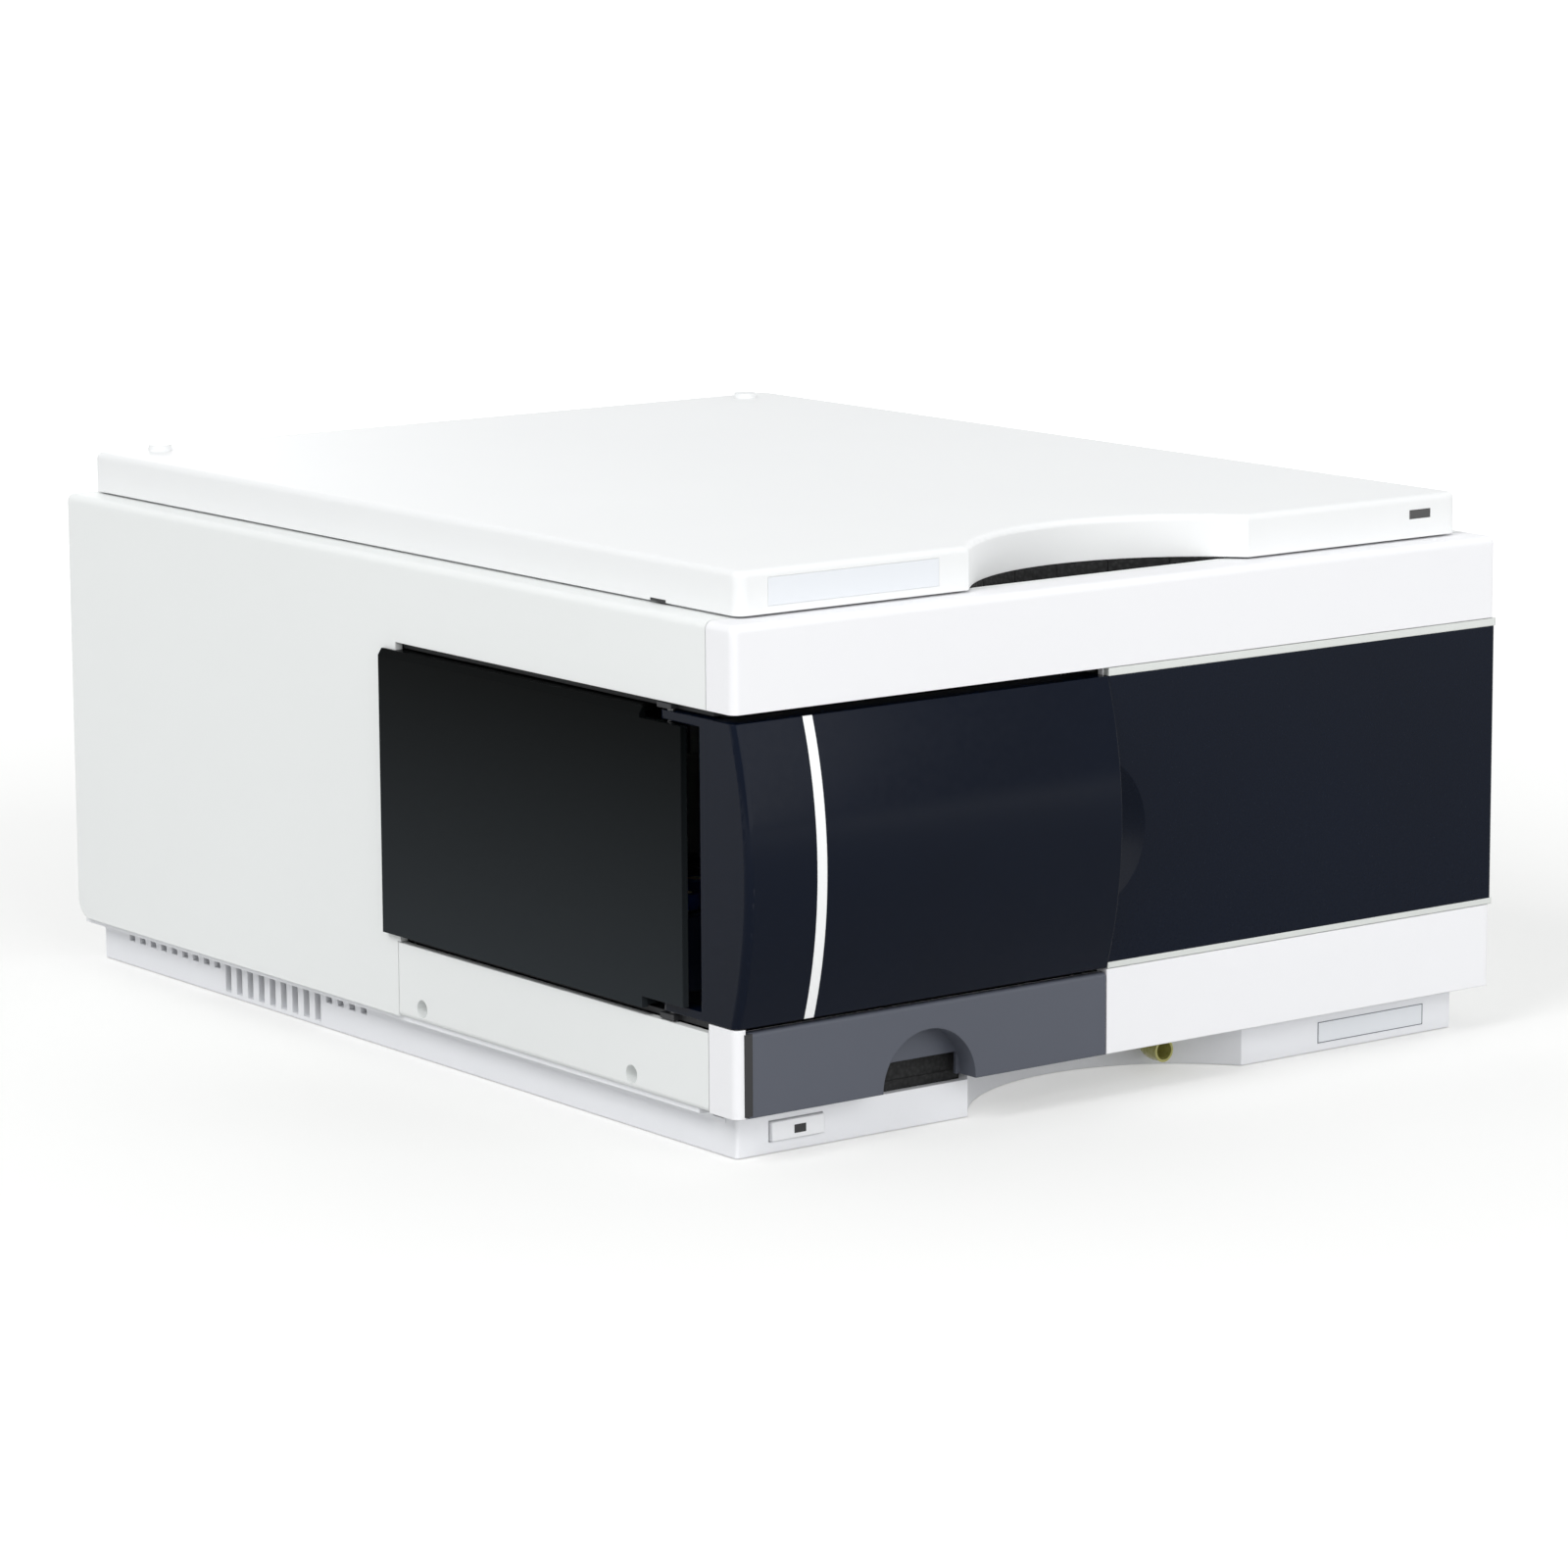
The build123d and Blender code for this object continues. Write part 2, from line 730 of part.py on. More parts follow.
# Base tray: moulded tray with vents, two front blocks and the round recess
base_inner_front_y = base_front_y + base_wall
base_inner_half = base_half_width - base_wall
with BuildPart() as base_tray:
    with BuildSketch(Plane.XY.offset(foot_height)):
        recessed_outline(base_half_width, (base_front_y, base_rear_y), base_arc_y, base_arc_radius)
    extrude(amount=cover_foot_z - foot_height)
    outer_corners = [
        edge
        for edge in base_tray.edges().filter_by(Axis.Z)
        if abs(abs(edge.center().X) - base_half_width) < fit_gap
    ]
    fillet(outer_corners, base_corner_round)
    flange_half = base_half_width + flange_out
    flange_z = (cover_foot_z - flange_thickness, cover_foot_z)
    slab((-flange_half, flange_half), (flange_front_y, base_rear_y + flange_rear_out), flange_z)
    cove_edges = [
        edge
        for edge in base_tray.edges().filter_by(Axis.Y)
        if abs(abs(edge.center().X) - base_half_width) < fit_gap
        and abs(edge.center().Z - flange_z[0]) < fit_gap
    ]
    fillet(cove_edges, flange_cove)
    with BuildSketch(Plane.XY.offset(floor_top_z)):
        inner_y = (base_inner_front_y, base_rear_y - base_wall)
        recessed_outline(base_inner_half, inner_y, base_arc_y, base_arc_radius + base_wall)
    extrude(amount=cover_foot_z, mode=Mode.SUBTRACT)
    slab(
        (-half_width, half_width),
        (front_y, base_front_y + front_wall_zone),
        (front_wall_top_z, cover_foot_z + overrun),
        mode=Mode.SUBTRACT,
    )
    for index in range(vent_count):
        vent_y = vent_rear_y - index * vent_pitch
        is_slot = vent_first_slot <= index <= vent_last_slot
        vent_low_z = vent_slot_low_z if is_slot else vent_top_z - vent_square_height
        for side in (-1, 1):
            wall_x = side * base_half_width
            slab(
                (wall_x - vent_wall_reach, wall_x + vent_wall_reach),
                (vent_y - vent_width / 2, vent_y + vent_width / 2),
                (vent_low_z, vent_top_z),
                mode=Mode.SUBTRACT,
            )
    slab(
        button_window_x,
        (base_front_y - overrun, base_inner_front_y + overrun),
        button_window_z,
        mode=Mode.SUBTRACT,
    )
    post(
        drain_x,
        drain_rise_y,
        (flange_z[0] - overrun, cover_foot_z + overrun),
        drain_radius + seam_gap,
        mode=Mode.SUBTRACT,
    )
    for side in (-1, 1):
        for place in (foot_front_y, foot_rear_y):
            pocket_z = (foot_height - overrun, foot_height + foot_pocket_depth)
            post(side * foot_x, place, pocket_z, foot_radius + seam_gap, mode=Mode.SUBTRACT)
    for side in (-1, 1):
        post(side * peg_x, peg_y, (floor_top_z, floor_top_z + socket_pad_height), socket_pad_radius)
        post(
            side * peg_x,
            peg_y,
            (foot_height - overrun, foot_height + peg_height + socket_clearance),
            peg_radius + socket_clearance,
            mode=Mode.SUBTRACT,
        )

# Rubber feet, let into the base
with BuildPart() as rubber_feet:
    for side in (-1, 1):
        for place in (foot_front_y, foot_rear_y):
            post(side * foot_x, place, (0, foot_height + foot_pocket_depth), foot_radius)

# Lower foam: lies in the base and rises under the sample compartment
foam_half = base_half_width - base_wall - seam_gap
foam_step_z = (cover_foot_z, floor_plate_z)
stem_end_y = base_inner_front_y + button_stem_length
with BuildPart() as lower_foam:
    slab(
        (-foam_half, foam_half),
        (base_inner_front_y + seam_gap, foam_rear_y),
        (floor_top_z, cover_foot_z),
    )
    post(
        recess_x,
        base_arc_y,
        (0, cover_foot_z + overrun),
        base_arc_radius + base_wall + seam_gap,
        mode=Mode.SUBTRACT,
    )
    slab(
        (button_window_x[0] - base_wall, button_window_x[1] + base_wall),
        (base_front_y, stem_end_y + button_travel + overrun),
        (0, cover_foot_z + overrun),
        mode=Mode.SUBTRACT,
    )
    slab((-partition_half_width, floor_right_x), (inner_front_y, partition_front_y), foam_step_z)

# Power button: face, retaining flange and stem
button_x = (button_window_x[0] + button_gap, button_window_x[1] - button_gap)
button_z = (button_window_z[0] + button_gap, button_window_z[1] - button_gap)
button_flange_y = (
    base_inner_front_y + slide_gap,
    base_inner_front_y + slide_gap + button_flange_depth,
)
with BuildPart() as power_button:
    slab(button_x, (base_front_y - button_proud, button_flange_y[0]), button_z)
    slab(
        (button_window_x[0] - button_flange_lip, button_window_x[1] + button_flange_lip),
        button_flange_y,
        (floor_top_z + button_gap, button_window_z[1] + button_flange_lip),
    )
    slab(
        (middle(button_x) - button_stem_half, middle(button_x) + button_stem_half),
        (button_flange_y[1], stem_end_y),
        (middle(button_z) - button_stem_half, middle(button_z) + button_stem_half),
    )

# Leak drain elbow: from the leak tray's floor down and forward into the base's recess
with BuildPart() as drain_tube:
    with BuildLine() as drain_path:
        FilletPolyline(
            (drain_x, drain_end_y, drain_z),
            (drain_x, drain_rise_y, drain_z),
            (drain_x, drain_rise_y, cover_foot_z),
            radius=drain_bend,
        )
    with BuildSketch(Plane((drain_x, drain_end_y, drain_z), z_dir=(0, 1, 0))):
        Circle(drain_radius)
        Circle(drain_bore, mode=Mode.SUBTRACT)
    sweep()

# Main cover: top and both sides, open at the rear and below
with BuildPart() as main_cover:
    with BuildSketch(Plane.XY.offset(cover_foot_z)):
        with BuildLine():
            Polyline(
                (-half_width, seam_y + seam_gap),
                (half_width, seam_y + seam_gap),
                (half_width, rear_y),
                (-half_width, rear_y),
                close=True,
            )
        make_face()
    extrude(amount=cover_top_z - cover_foot_z)
    top_sides = main_cover.faces().sort_by(Axis.Z)[-1].edges().filter_by(Axis.Y)
    heel_edges = main_cover.edges().filter_by(Axis.X).group_by(Axis.Z)[0].sort_by(Axis.Y)[-1:]
    rear_edges = main_cover.edges().filter_by(Axis.Z).group_by(Axis.Y)[-1]
    fillet(heel_edges, cover_heel_round)
    fillet(top_sides, cover_edge_round)
    slab(
        (-inner_half_width, inner_half_width),
        (front_y, rear_y + overrun),
        (0, cover_top_z - cover_wall),
        mode=Mode.SUBTRACT,
    )
    slab(
        (-half_width - overrun, -inner_half_width + overrun),
        (front_y, window_rear_y),
        (side_panel_top_z, band_bottom_z),
        mode=Mode.SUBTRACT,
    )
    slab(
        (-half_width - overrun, -inner_half_width + overrun),
        (front_y, side_panel_rear_y),
        (0, side_panel_top_z + seam_gap),
        mode=Mode.SUBTRACT,
    )
    with BuildSketch(Plane.XY.offset(cover_top_z)):
        pad_y = (lid_front_y + pad_inset, lid_rear_y - lid_wall - seam_gap)
        recessed_outline(lid_half_width - lid_wall - seam_gap, pad_y, lid_arc_y, lid_arc_radius)
    extrude(amount=lid_shadow)
    with BuildSketch(Plane.XY.offset(cover_top_z - cover_wall - overrun)):
        with Locations((recess_x, lid_arc_y)):
            Circle(lid_arc_radius + lid_wall)
        with Locations((recess_x, well_front_y - body_depth / 2)):
            Rectangle(body_width, body_depth, mode=Mode.SUBTRACT)
    extrude(amount=cover_wall + lid_shadow + 2 * overrun, mode=Mode.SUBTRACT)

# Lower side panel: below the side door, with two blind round holes
with BuildPart() as lower_side_panel:
    slab(
        (-half_width, -inner_half_width),
        (seam_y + seam_gap, side_panel_rear_y - seam_gap),
        (cover_foot_z, side_panel_top_z),
    )
    bottom_edge = lower_side_panel.edges().filter_by(Axis.Y).group_by(Axis.Z)[0].sort_by(Axis.X)[0]
    fillet(bottom_edge, panel_corner_round)
    for hole_y in panel_hole_ys:
        boss_x = (-inner_half_width, -inner_half_width + panel_boss_depth)
        rod_along_x(boss_x, hole_y, panel_hole_z, panel_boss_radius)
        rod_along_x(
            (-half_width - overrun, -half_width + panel_hole_depth),
            hole_y,
            panel_hole_z,
            panel_hole_radius,
            mode=Mode.SUBTRACT,
        )

# Front cover: frame that wraps the front corners, open for the doors at the left
arch_z = cover_foot_z
arch_cut_radius = arch_radius + arch_rim + arch_gap
finger_cut_radius = finger_radius + finger_wall + panel_gap
front_zone_y = (front_y - overrun, backing_y)
with BuildPart() as front_cover:
    slab((-half_width, half_width), (front_y, seam_y), (cover_foot_z, cover_top_z))
    front_edges = front_cover.faces().sort_by(Axis.Y)[0].edges().sort_by(Axis.Z)[1:]
    top_ends = front_cover.faces().sort_by(Axis.Z)[-1].edges().filter_by(Axis.Y)
    fillet(front_edges + top_ends, cover_edge_round)
    slab(
        (-inner_half_width, inner_half_width),
        (backing_y, seam_y + overrun),
        (cover_foot_z + cover_wall, cover_top_z - cover_wall),
        mode=Mode.SUBTRACT,
    )
    slab(
        (-half_width - overrun, door_right_x),
        (front_y - overrun, seam_y + overrun),
        (corner_top_z, band_bottom_z),
        mode=Mode.SUBTRACT,
    )
    strip_low_z = door_bottom_z - strip_height + lower_strip_height
    slab(
        (door_right_x, half_width + overrun),
        front_zone_y,
        (strip_low_z, band_bottom_z),
        mode=Mode.SUBTRACT,
    )
    slab(
        (-half_width + corner_width, door_right_x),
        front_zone_y,
        (0, corner_top_z + overrun),
        mode=Mode.SUBTRACT,
    )
    backing_span_y = (backing_y, backing_y + backing_wall)
    slab(
        (door_right_x, inner_half_width),
        backing_span_y,
        (strip_low_z - backing_lap, band_bottom_z + backing_lap),
    )
    slab((-inner_half_width, door_right_x), backing_span_y, (cover_foot_z, lower_panel_top_z - panel_gap))
    slab(
        (door_right_x - backing_lap, door_right_x + backing_lap),
        backing_span_y,
        (cover_foot_z, strip_low_z - backing_lap),
    )
    rod_along_y(finger_x, (front_y, seam_y), finger_z, finger_cut_radius, mode=Mode.SUBTRACT)
    rod_along_y(arch_x, (front_y, seam_y), arch_z, arch_cut_radius, mode=Mode.SUBTRACT)

# Lower front panel: grey, with the half-round arch and its hood behind
panel_back_y = backing_y - fit_gap
with BuildPart() as lower_front_panel:
    slab(
        (lower_panel_left_x, lower_panel_right_x),
        (front_y, panel_back_y),
        (cover_foot_z, lower_panel_top_z),
    )
    top_edge = lower_front_panel.faces().sort_by(Axis.Y)[0].edges().sort_by(Axis.Z)[-1]
    fillet(top_edge, panel_edge_round)
    hood_y = (front_y + panel_edge_round, front_y + arch_depth + arch_back)
    hood_radius = arch_radius + arch_rim
    rod_along_y(arch_x, hood_y, arch_z, hood_radius)
    slab(
        (arch_x - hood_radius - overrun, arch_x + hood_radius + overrun),
        (front_y - overrun, seam_y),
        (arch_z - hood_radius - overrun, cover_foot_z),
        mode=Mode.SUBTRACT,
    )
    rod_along_y(arch_x, (front_y - overrun, front_y + arch_depth), arch_z, arch_radius, mode=Mode.SUBTRACT)
    slab(
        (arch_x - arch_radius + arch_back, arch_x + arch_radius - arch_back),
        (front_y + arch_depth - overrun, seam_y),
        (0, arch_lintel_z),
        mode=Mode.SUBTRACT,
    )

# Right front panel: fixed and dark, with the dished finger recess beside the door
right_panel_x = (door_right_x + panel_gap, half_width)
dish_radius = arc_radius(finger_radius, finger_depth)
lower_strip_z = (strip_low_z + panel_gap / 2, strip_low_z + lower_strip_height)
upper_strip_z = (door_top_z, band_bottom_z - panel_gap / 2)
with BuildPart() as right_front_panel:
    slab(right_panel_x, (front_y, panel_back_y), (lower_strip_z[1], upper_strip_z[0]))
    panel_end = right_front_panel.edges().filter_by(Axis.Z).group_by(Axis.X)[-1].sort_by(Axis.Y)[0]
    fillet(panel_end, panel_edge_round)
    with Locations((finger_x, front_y + finger_depth - dish_radius, finger_z)):
        Sphere(dish_radius + finger_wall)
    slab(
        (-body_width, body_width),
        (front_y - body_depth, front_y),
        (-body_height, body_height),
        mode=Mode.SUBTRACT,
    )
    with Locations((finger_x, front_y + finger_depth - dish_radius, finger_z)):
        Sphere(dish_radius, mode=Mode.SUBTRACT)
    slab(
        (-half_width, right_panel_x[0]),
        (front_y - overrun, seam_y),
        (door_bottom_z, door_top_z),
        mode=Mode.SUBTRACT,
    )

# Bright strips above and below the right panel
with BuildPart() as trim_strips:
    slab(right_panel_x, (front_y, panel_back_y), upper_strip_z)
    slab(right_panel_x, (front_y, panel_back_y), lower_strip_z)

# Lid: shell with the round recess, side notches and stacking pegs
with BuildPart() as lid:
    with BuildSketch(Plane.XY.offset(lid_bottom_z)):
        recessed_outline(lid_half_width, (lid_front_y, lid_rear_y), lid_arc_y, lid_arc_radius)
    extrude(amount=lid_height)
    lid_corners = [
        edge
        for edge in lid.edges().filter_by(Axis.Z)
        if abs(abs(edge.center().X) - lid_half_width) < fit_gap
    ]
    fillet(lid_corners, lid_corner_round)
    fillet(lid.faces().sort_by(Axis.Z)[-1].edges(), lid_edge_round)
    with BuildSketch(Plane.XY.offset(lid_bottom_z)):
        lid_inner_y = (lid_front_y + lid_wall, lid_rear_y - lid_wall)
        recessed_outline(lid_half_width - lid_wall, lid_inner_y, lid_arc_y, lid_arc_radius + lid_wall)
    extrude(amount=lid_height - lid_wall, mode=Mode.SUBTRACT)
    slab(
        plate_x,
        (lid_front_y - overrun, lid_front_y + plate_thickness),
        plate_z,
        mode=Mode.SUBTRACT,
    )
    slab(
        lens_x,
        (lid_front_y - overrun, lid_front_y + lid_wall + overrun),
        lens_z,
        mode=Mode.SUBTRACT,
    )
    for side in (-1, 1):
        wall_x = side * lid_half_width
        slab(
            (wall_x - lid_wall - overrun, wall_x + lid_wall + overrun),
            notch_y,
            (lid_bottom_z - overrun, lid_bottom_z + notch_height),
            mode=Mode.SUBTRACT,
        )
        post(side * peg_x, peg_y, (body_height - overrun, body_height + peg_height), peg_radius)
        for place in (peg_y, lid_post_front_y):
            post(side * peg_x, place, (lid_bottom_z, body_height - overrun), lid_post_radius)

with BuildPart() as name_plate:
    slab(plate_x, (lid_front_y, lid_front_y + plate_thickness), plate_z)

with BuildPart() as status_lens:
    slab(lens_x, (lid_front_y, lid_front_y + lens_depth), lens_z)

# Tray base: floor of the sample compartment, with the lower hinge tongue
tongue_x = (-half_width + tongue_gap, hinge_x + tongue_gap)
tongue_y = (hinge_y - tongue_half, hinge_y + tongue_half)
floor_z = (floor_plate_z, floor_plate_z + floor_plate)
ceiling_span_z = (ceiling_z, ceiling_z + ceiling_plate_thickness)
plate_left_x = -inner_half_width + seam_gap
rack_half = rack_count * vial_spacing / 2 + rack_margin
with BuildPart() as tray_base:
    slab((plate_left_x, floor_right_x), (inner_front_y, partition_front_y), floor_z)
    slab(tongue_x, tongue_y, floor_z)
    post(
        hinge_x,
        hinge_y,
        (floor_z[0] - overrun, floor_z[1] + overrun),
        pin_radius + fit_gap,
        mode=Mode.SUBTRACT,
    )

# Ceiling plate of the compartment, with the upper hinge tongue
with BuildPart() as ceiling_plate:
    slab((plate_left_x, partition_half_width), (inner_front_y, partition_rear_y), ceiling_span_z)
    slab(tongue_x, tongue_y, ceiling_span_z)
    for place, radius in (
        ((hinge_x, hinge_y), pin_radius + fit_gap),
        ((funnel_x, funnel_y), funnel_tube_radius + seam_gap),
    ):
        post(
            place[0],
            place[1],
            (ceiling_span_z[0] - overrun, ceiling_span_z[1] + overrun),
            radius,
            mode=Mode.SUBTRACT,
        )

# Partition between the sample compartment and the electronics
with BuildPart() as partition:
    slab(
        (-partition_half_width, partition_half_width),
        (partition_front_y, partition_rear_y),
        (cover_foot_z, ceiling_z),
    )
    rod_along_y(
        drive_pulley_x,
        (partition_front_y - overrun, partition_rear_y + overrun),
        belt_z,
        shaft_radius + running_gap,
        mode=Mode.SUBTRACT,
    )

# Upper foam: blocks between the ceiling plate and the cover, with a rim under the lid's recess
with BuildPart() as upper_foam:
    slab(
        (plate_left_x, -plate_left_x),
        (inner_front_y, rear_sheet_y - seam_gap),
        (ceiling_span_z[1], cover_top_z - cover_wall - seam_gap),
    )
    with BuildSketch(Plane.XY.offset(well_floor_z)):
        with Locations((recess_x, lid_arc_y)):
            Circle(lid_arc_radius + lid_wall - seam_gap)
        with Locations((recess_x, well_front_y + seam_gap - body_depth / 2)):
            Rectangle(body_width, body_depth, mode=Mode.SUBTRACT)
    extrude(amount=lid_bottom_z - seam_gap - well_floor_z)
    with BuildSketch(Plane.XY.offset(well_floor_z)):
        with Locations((recess_x, lid_arc_y)):
            Circle(lid_arc_radius)
        with Locations((recess_x, well_front_y - body_depth / 2)):
            Rectangle(body_width, body_depth, mode=Mode.SUBTRACT)
    extrude(amount=lid_bottom_z - well_floor_z, mode=Mode.SUBTRACT)
    post(
        funnel_x,
        funnel_y,
        (ceiling_z, well_floor_z + overrun),
        funnel_tube_radius + seam_gap,
        mode=Mode.SUBTRACT,
    )
    # The level joint under the well, the joints behind and in front of it, and those that part its blocks
    slab(
        (-half_width, half_width),
        (front_y, rear_y),
        (well_floor_z, well_floor_z + seam_gap),
        mode=Mode.SUBTRACT,
    )
    slab(
        (-half_width, half_width),
        (foam_joint_y, foam_joint_y + seam_gap),
        (well_floor_z, body_height),
        mode=Mode.SUBTRACT,
    )
    slab(
        foam_end_joints_x,
        (well_front_y - seam_gap, well_front_y),
        (well_floor_z, body_height),
        mode=Mode.SUBTRACT,
    )
    for joint_x in foam_end_joints_x:
        slab(
            (joint_x, joint_x + seam_gap),
            (front_y, foam_joint_y + seam_gap),
            (well_floor_z, body_height),
            mode=Mode.SUBTRACT,
        )
    for joint_x in foam_joints_x:
        slab(
            (joint_x, joint_x + seam_gap),
            (well_front_y, foam_joint_y + seam_gap),
            (well_floor_z, body_height),
            mode=Mode.SUBTRACT,
        )

# Leak tray under the sampling unit
with BuildPart() as leak_tray:
    slab(leak_tray_x, (inner_front_y, leak_tray_rear_y), (cover_foot_z, cover_foot_z + leak_tray_height))
    slab(
        (leak_tray_x[0] + leak_tray_wall, leak_tray_x[1] - leak_tray_wall),
        (inner_front_y + leak_tray_wall, leak_tray_rear_y - leak_tray_wall),
        (leak_floor_z, body_height),
        mode=Mode.SUBTRACT,
    )
    post(drain_x, drain_rise_y, (0, leak_floor_z + overrun), drain_bore, mode=Mode.SUBTRACT)

# Leak funnel: catches drips at the top recess and leads them to the leak tray
with BuildPart() as leak_funnel:
    cup_z = (well_floor_z, well_floor_z + funnel_cup_height)
    post(funnel_x, funnel_y, cup_z, funnel_cup_radius)
    post(funnel_x, funnel_y, (leak_floor_z + funnel_end_gap, well_floor_z), funnel_tube_radius)
    mouth_radius = funnel_cup_radius - funnel_cup_wall
    with Locations((funnel_x, funnel_y, middle((cup_z[0] + funnel_cup_wall, cup_z[1])))):
        Cone(
            funnel_tube_bore,
            mouth_radius,
            funnel_cup_height - funnel_cup_wall,
            mode=Mode.SUBTRACT,
        )
    post(
        funnel_x,
        funnel_y,
        (0, cup_z[0] + funnel_cup_wall + fit_gap),
        funnel_tube_bore,
        mode=Mode.SUBTRACT,
    )

# Front door: bulged smoked shell with a left end wall and two hinge arms
door_left_x = -half_width
arm_z = ((door_bottom_z, door_bottom_z + door_thickness), (door_top_z - door_thickness, door_top_z))


def door_profile(inset, rear):
    """Bulged door section in the YZ plane, drawn in by the inset."""
    low = (front_y + inset, door_bottom_z + inset)
    high = (front_y + inset, door_top_z - inset)
    with BuildLine() as outline:
        ThreePointArc(low, (front_y - door_bulge + inset, door_middle_z), high)
        Polyline(high, (rear, high[1]), (rear, low[1]), low)
    make_face(outline.edges())


def stripe_profile():
    """Section of the thin stripe along the door's bulged front."""
    low = (front_y, door_bottom_z)
    high = (front_y, door_top_z)
    inner_low = (front_y + stripe_thickness, door_bottom_z)
    inner_high = (front_y + stripe_thickness, door_top_z)
    with BuildLine() as outline:
        ThreePointArc(low, (front_y - door_bulge, door_middle_z), high)
        Line(high, inner_high)
        ThreePointArc(inner_high, (front_y - door_bulge + stripe_thickness, door_middle_z), inner_low)
        Line(inner_low, low)
    make_face(outline.edges())


with BuildPart() as door_hollow:
    with BuildSketch(Plane.YZ.offset(door_left_x + door_thickness)):
        door_profile(door_thickness, door_wall_rear_y + overrun)
    extrude(amount=door_right_x - door_left_x)
with BuildPart() as front_door:
    with BuildSketch(Plane.YZ.offset(door_left_x)):
        door_profile(0, door_wall_rear_y)
    extrude(amount=door_right_x - door_left_x)
    fillet(front_door.faces().sort_by(Axis.X)[0].edges().sort_by(Axis.Y)[0], door_corner_round)
    add(door_hollow.part, mode=Mode.SUBTRACT)
    slab(
        (door_left_x + door_thickness, door_right_x + overrun),
        (front_y + door_rim_depth, door_wall_rear_y + overrun),
        (0, body_height),
        mode=Mode.SUBTRACT,
    )
    for span in arm_z:
        slab((door_left_x, door_left_x + arm_width), (front_y + door_rim_depth, hinge_y), span)
        post(hinge_x, hinge_y, span, hub_radius)
        post(
            hinge_x,
            hinge_y,
            (span[0] - overrun, span[1] + overrun),
            pin_radius + running_gap,
            mode=Mode.SUBTRACT,
        )
    with BuildSketch(Plane.YZ.offset(stripe_left_x)):
        stripe_profile()
    extrude(amount=stripe_width, mode=Mode.SUBTRACT)

# White stripe let into the front door
with BuildPart() as door_stripe:
    with BuildSketch(Plane.YZ.offset(stripe_left_x)):
        stripe_profile()
    extrude(amount=stripe_width)

# Side door: smoked plate that stands proud of the cover, with rims and hinge hubs
glass_x = (-half_width - seam_gap - side_glass, -half_width - seam_gap)
side_rim_x = (glass_x[1], glass_x[1] + side_rim_depth)
upper_hub_z = (arm_z[1][0] - arm_notch_gap - hub_height, arm_z[1][0] - arm_notch_gap)
lower_hub_z = (arm_z[0][1] + arm_notch_gap, arm_z[0][1] + arm_notch_gap + hub_height)
rim_rear_y = window_rear_y - slide_gap - side_rim
with BuildPart() as side_door:
    slab(glass_x, (side_front_y, side_rear_y), (side_bottom_z, side_top_z))
    top_outer = side_door.edges().filter_by(Axis.Y).group_by(Axis.Z)[-1].sort_by(Axis.X)[0]
    chamfer(top_outer, side_bevel_height, side_bevel_depth)
    slab(side_rim_x, (rim_front_y, rim_rear_y + side_rim), (side_top_z - side_rim, side_top_z))
    slab(side_rim_x, (rim_front_y, rim_rear_y + side_rim), (side_bottom_z, side_bottom_z + side_rim))
    slab(side_rim_x, (rim_rear_y, rim_rear_y + side_rim), (side_bottom_z, side_top_z))
    notch_x = (glass_x[0] - overrun, glass_x[1] + overrun)
    notch_span_y = (side_front_y - overrun, arm_notch_y)
    slab(notch_x, notch_span_y, (upper_hub_z[1], side_top_z + overrun), mode=Mode.SUBTRACT)
    slab(notch_x, notch_span_y, (side_bottom_z - overrun, lower_hub_z[0]), mode=Mode.SUBTRACT)
    for span in (upper_hub_z, lower_hub_z):
        slab((glass_x[1], hinge_x), (hinge_y - web_half, hinge_y + web_half), span)
        post(hinge_x, hinge_y, span, hub_radius)
        post(
            hinge_x,
            hinge_y,
            (span[0] - overrun, span[1] + overrun),
            pin_radius + running_gap,
            mode=Mode.SUBTRACT,
        )

# Hinge pins in the tongues of the floor and the ceiling plate
with BuildPart() as hinge_pins:
    post(hinge_x, hinge_y, (floor_z[0], lower_hub_z[1]), pin_radius)
    post(hinge_x, hinge_y, (upper_hub_z[0], ceiling_span_z[1]), pin_radius)

# Vial rack with square pockets, a part load of vials, and their caps
rack_z = (floor_z[1], floor_z[1] + rack_height)
pocket_floor_z = rack_z[0] + rack_floor
with BuildPart() as vial_rack:
    slab((rack_x - rack_half, rack_x + rack_half), (rack_y - rack_half, rack_y + rack_half), rack_z)
    fillet(vial_rack.edges().filter_by(Axis.Z), rack_edge_round)
    with BuildSketch(Plane.XY.offset(pocket_floor_z)):
        with Locations((rack_x, rack_y)):
            with GridLocations(vial_spacing, vial_spacing, rack_count, rack_count):
                Rectangle(rack_pocket, rack_pocket)
    extrude(amount=rack_height, mode=Mode.SUBTRACT)

first_vial_x = rack_x - (rack_count - 1) / 2 * vial_spacing
first_vial_y = rack_y - (rack_count - 1) / 2 * vial_spacing
vial_places = [
    (first_vial_x + column * vial_spacing, first_vial_y + row * vial_spacing)
    for column in range(vial_columns)
    for row in range(vial_rows)
]
vial_shoulder_z = pocket_floor_z + vial_body_height
vial_top_z = pocket_floor_z + vial_height
cap_z = (vial_top_z - cap_height + cap_top, vial_top_z + cap_top)
with BuildPart() as vials:
    for place in vial_places:
        post(place[0], place[1], (pocket_floor_z, vial_shoulder_z), vial_radius)
        post(place[0], place[1], (vial_shoulder_z, vial_top_z), vial_neck_radius)
with BuildPart() as vial_caps:
    for place in vial_places:
        post(place[0], place[1], (vial_shoulder_z, cap_z[1]), cap_radius)
        post(place[0], place[1], (vial_shoulder_z, vial_top_z), vial_neck_radius, mode=Mode.SUBTRACT)

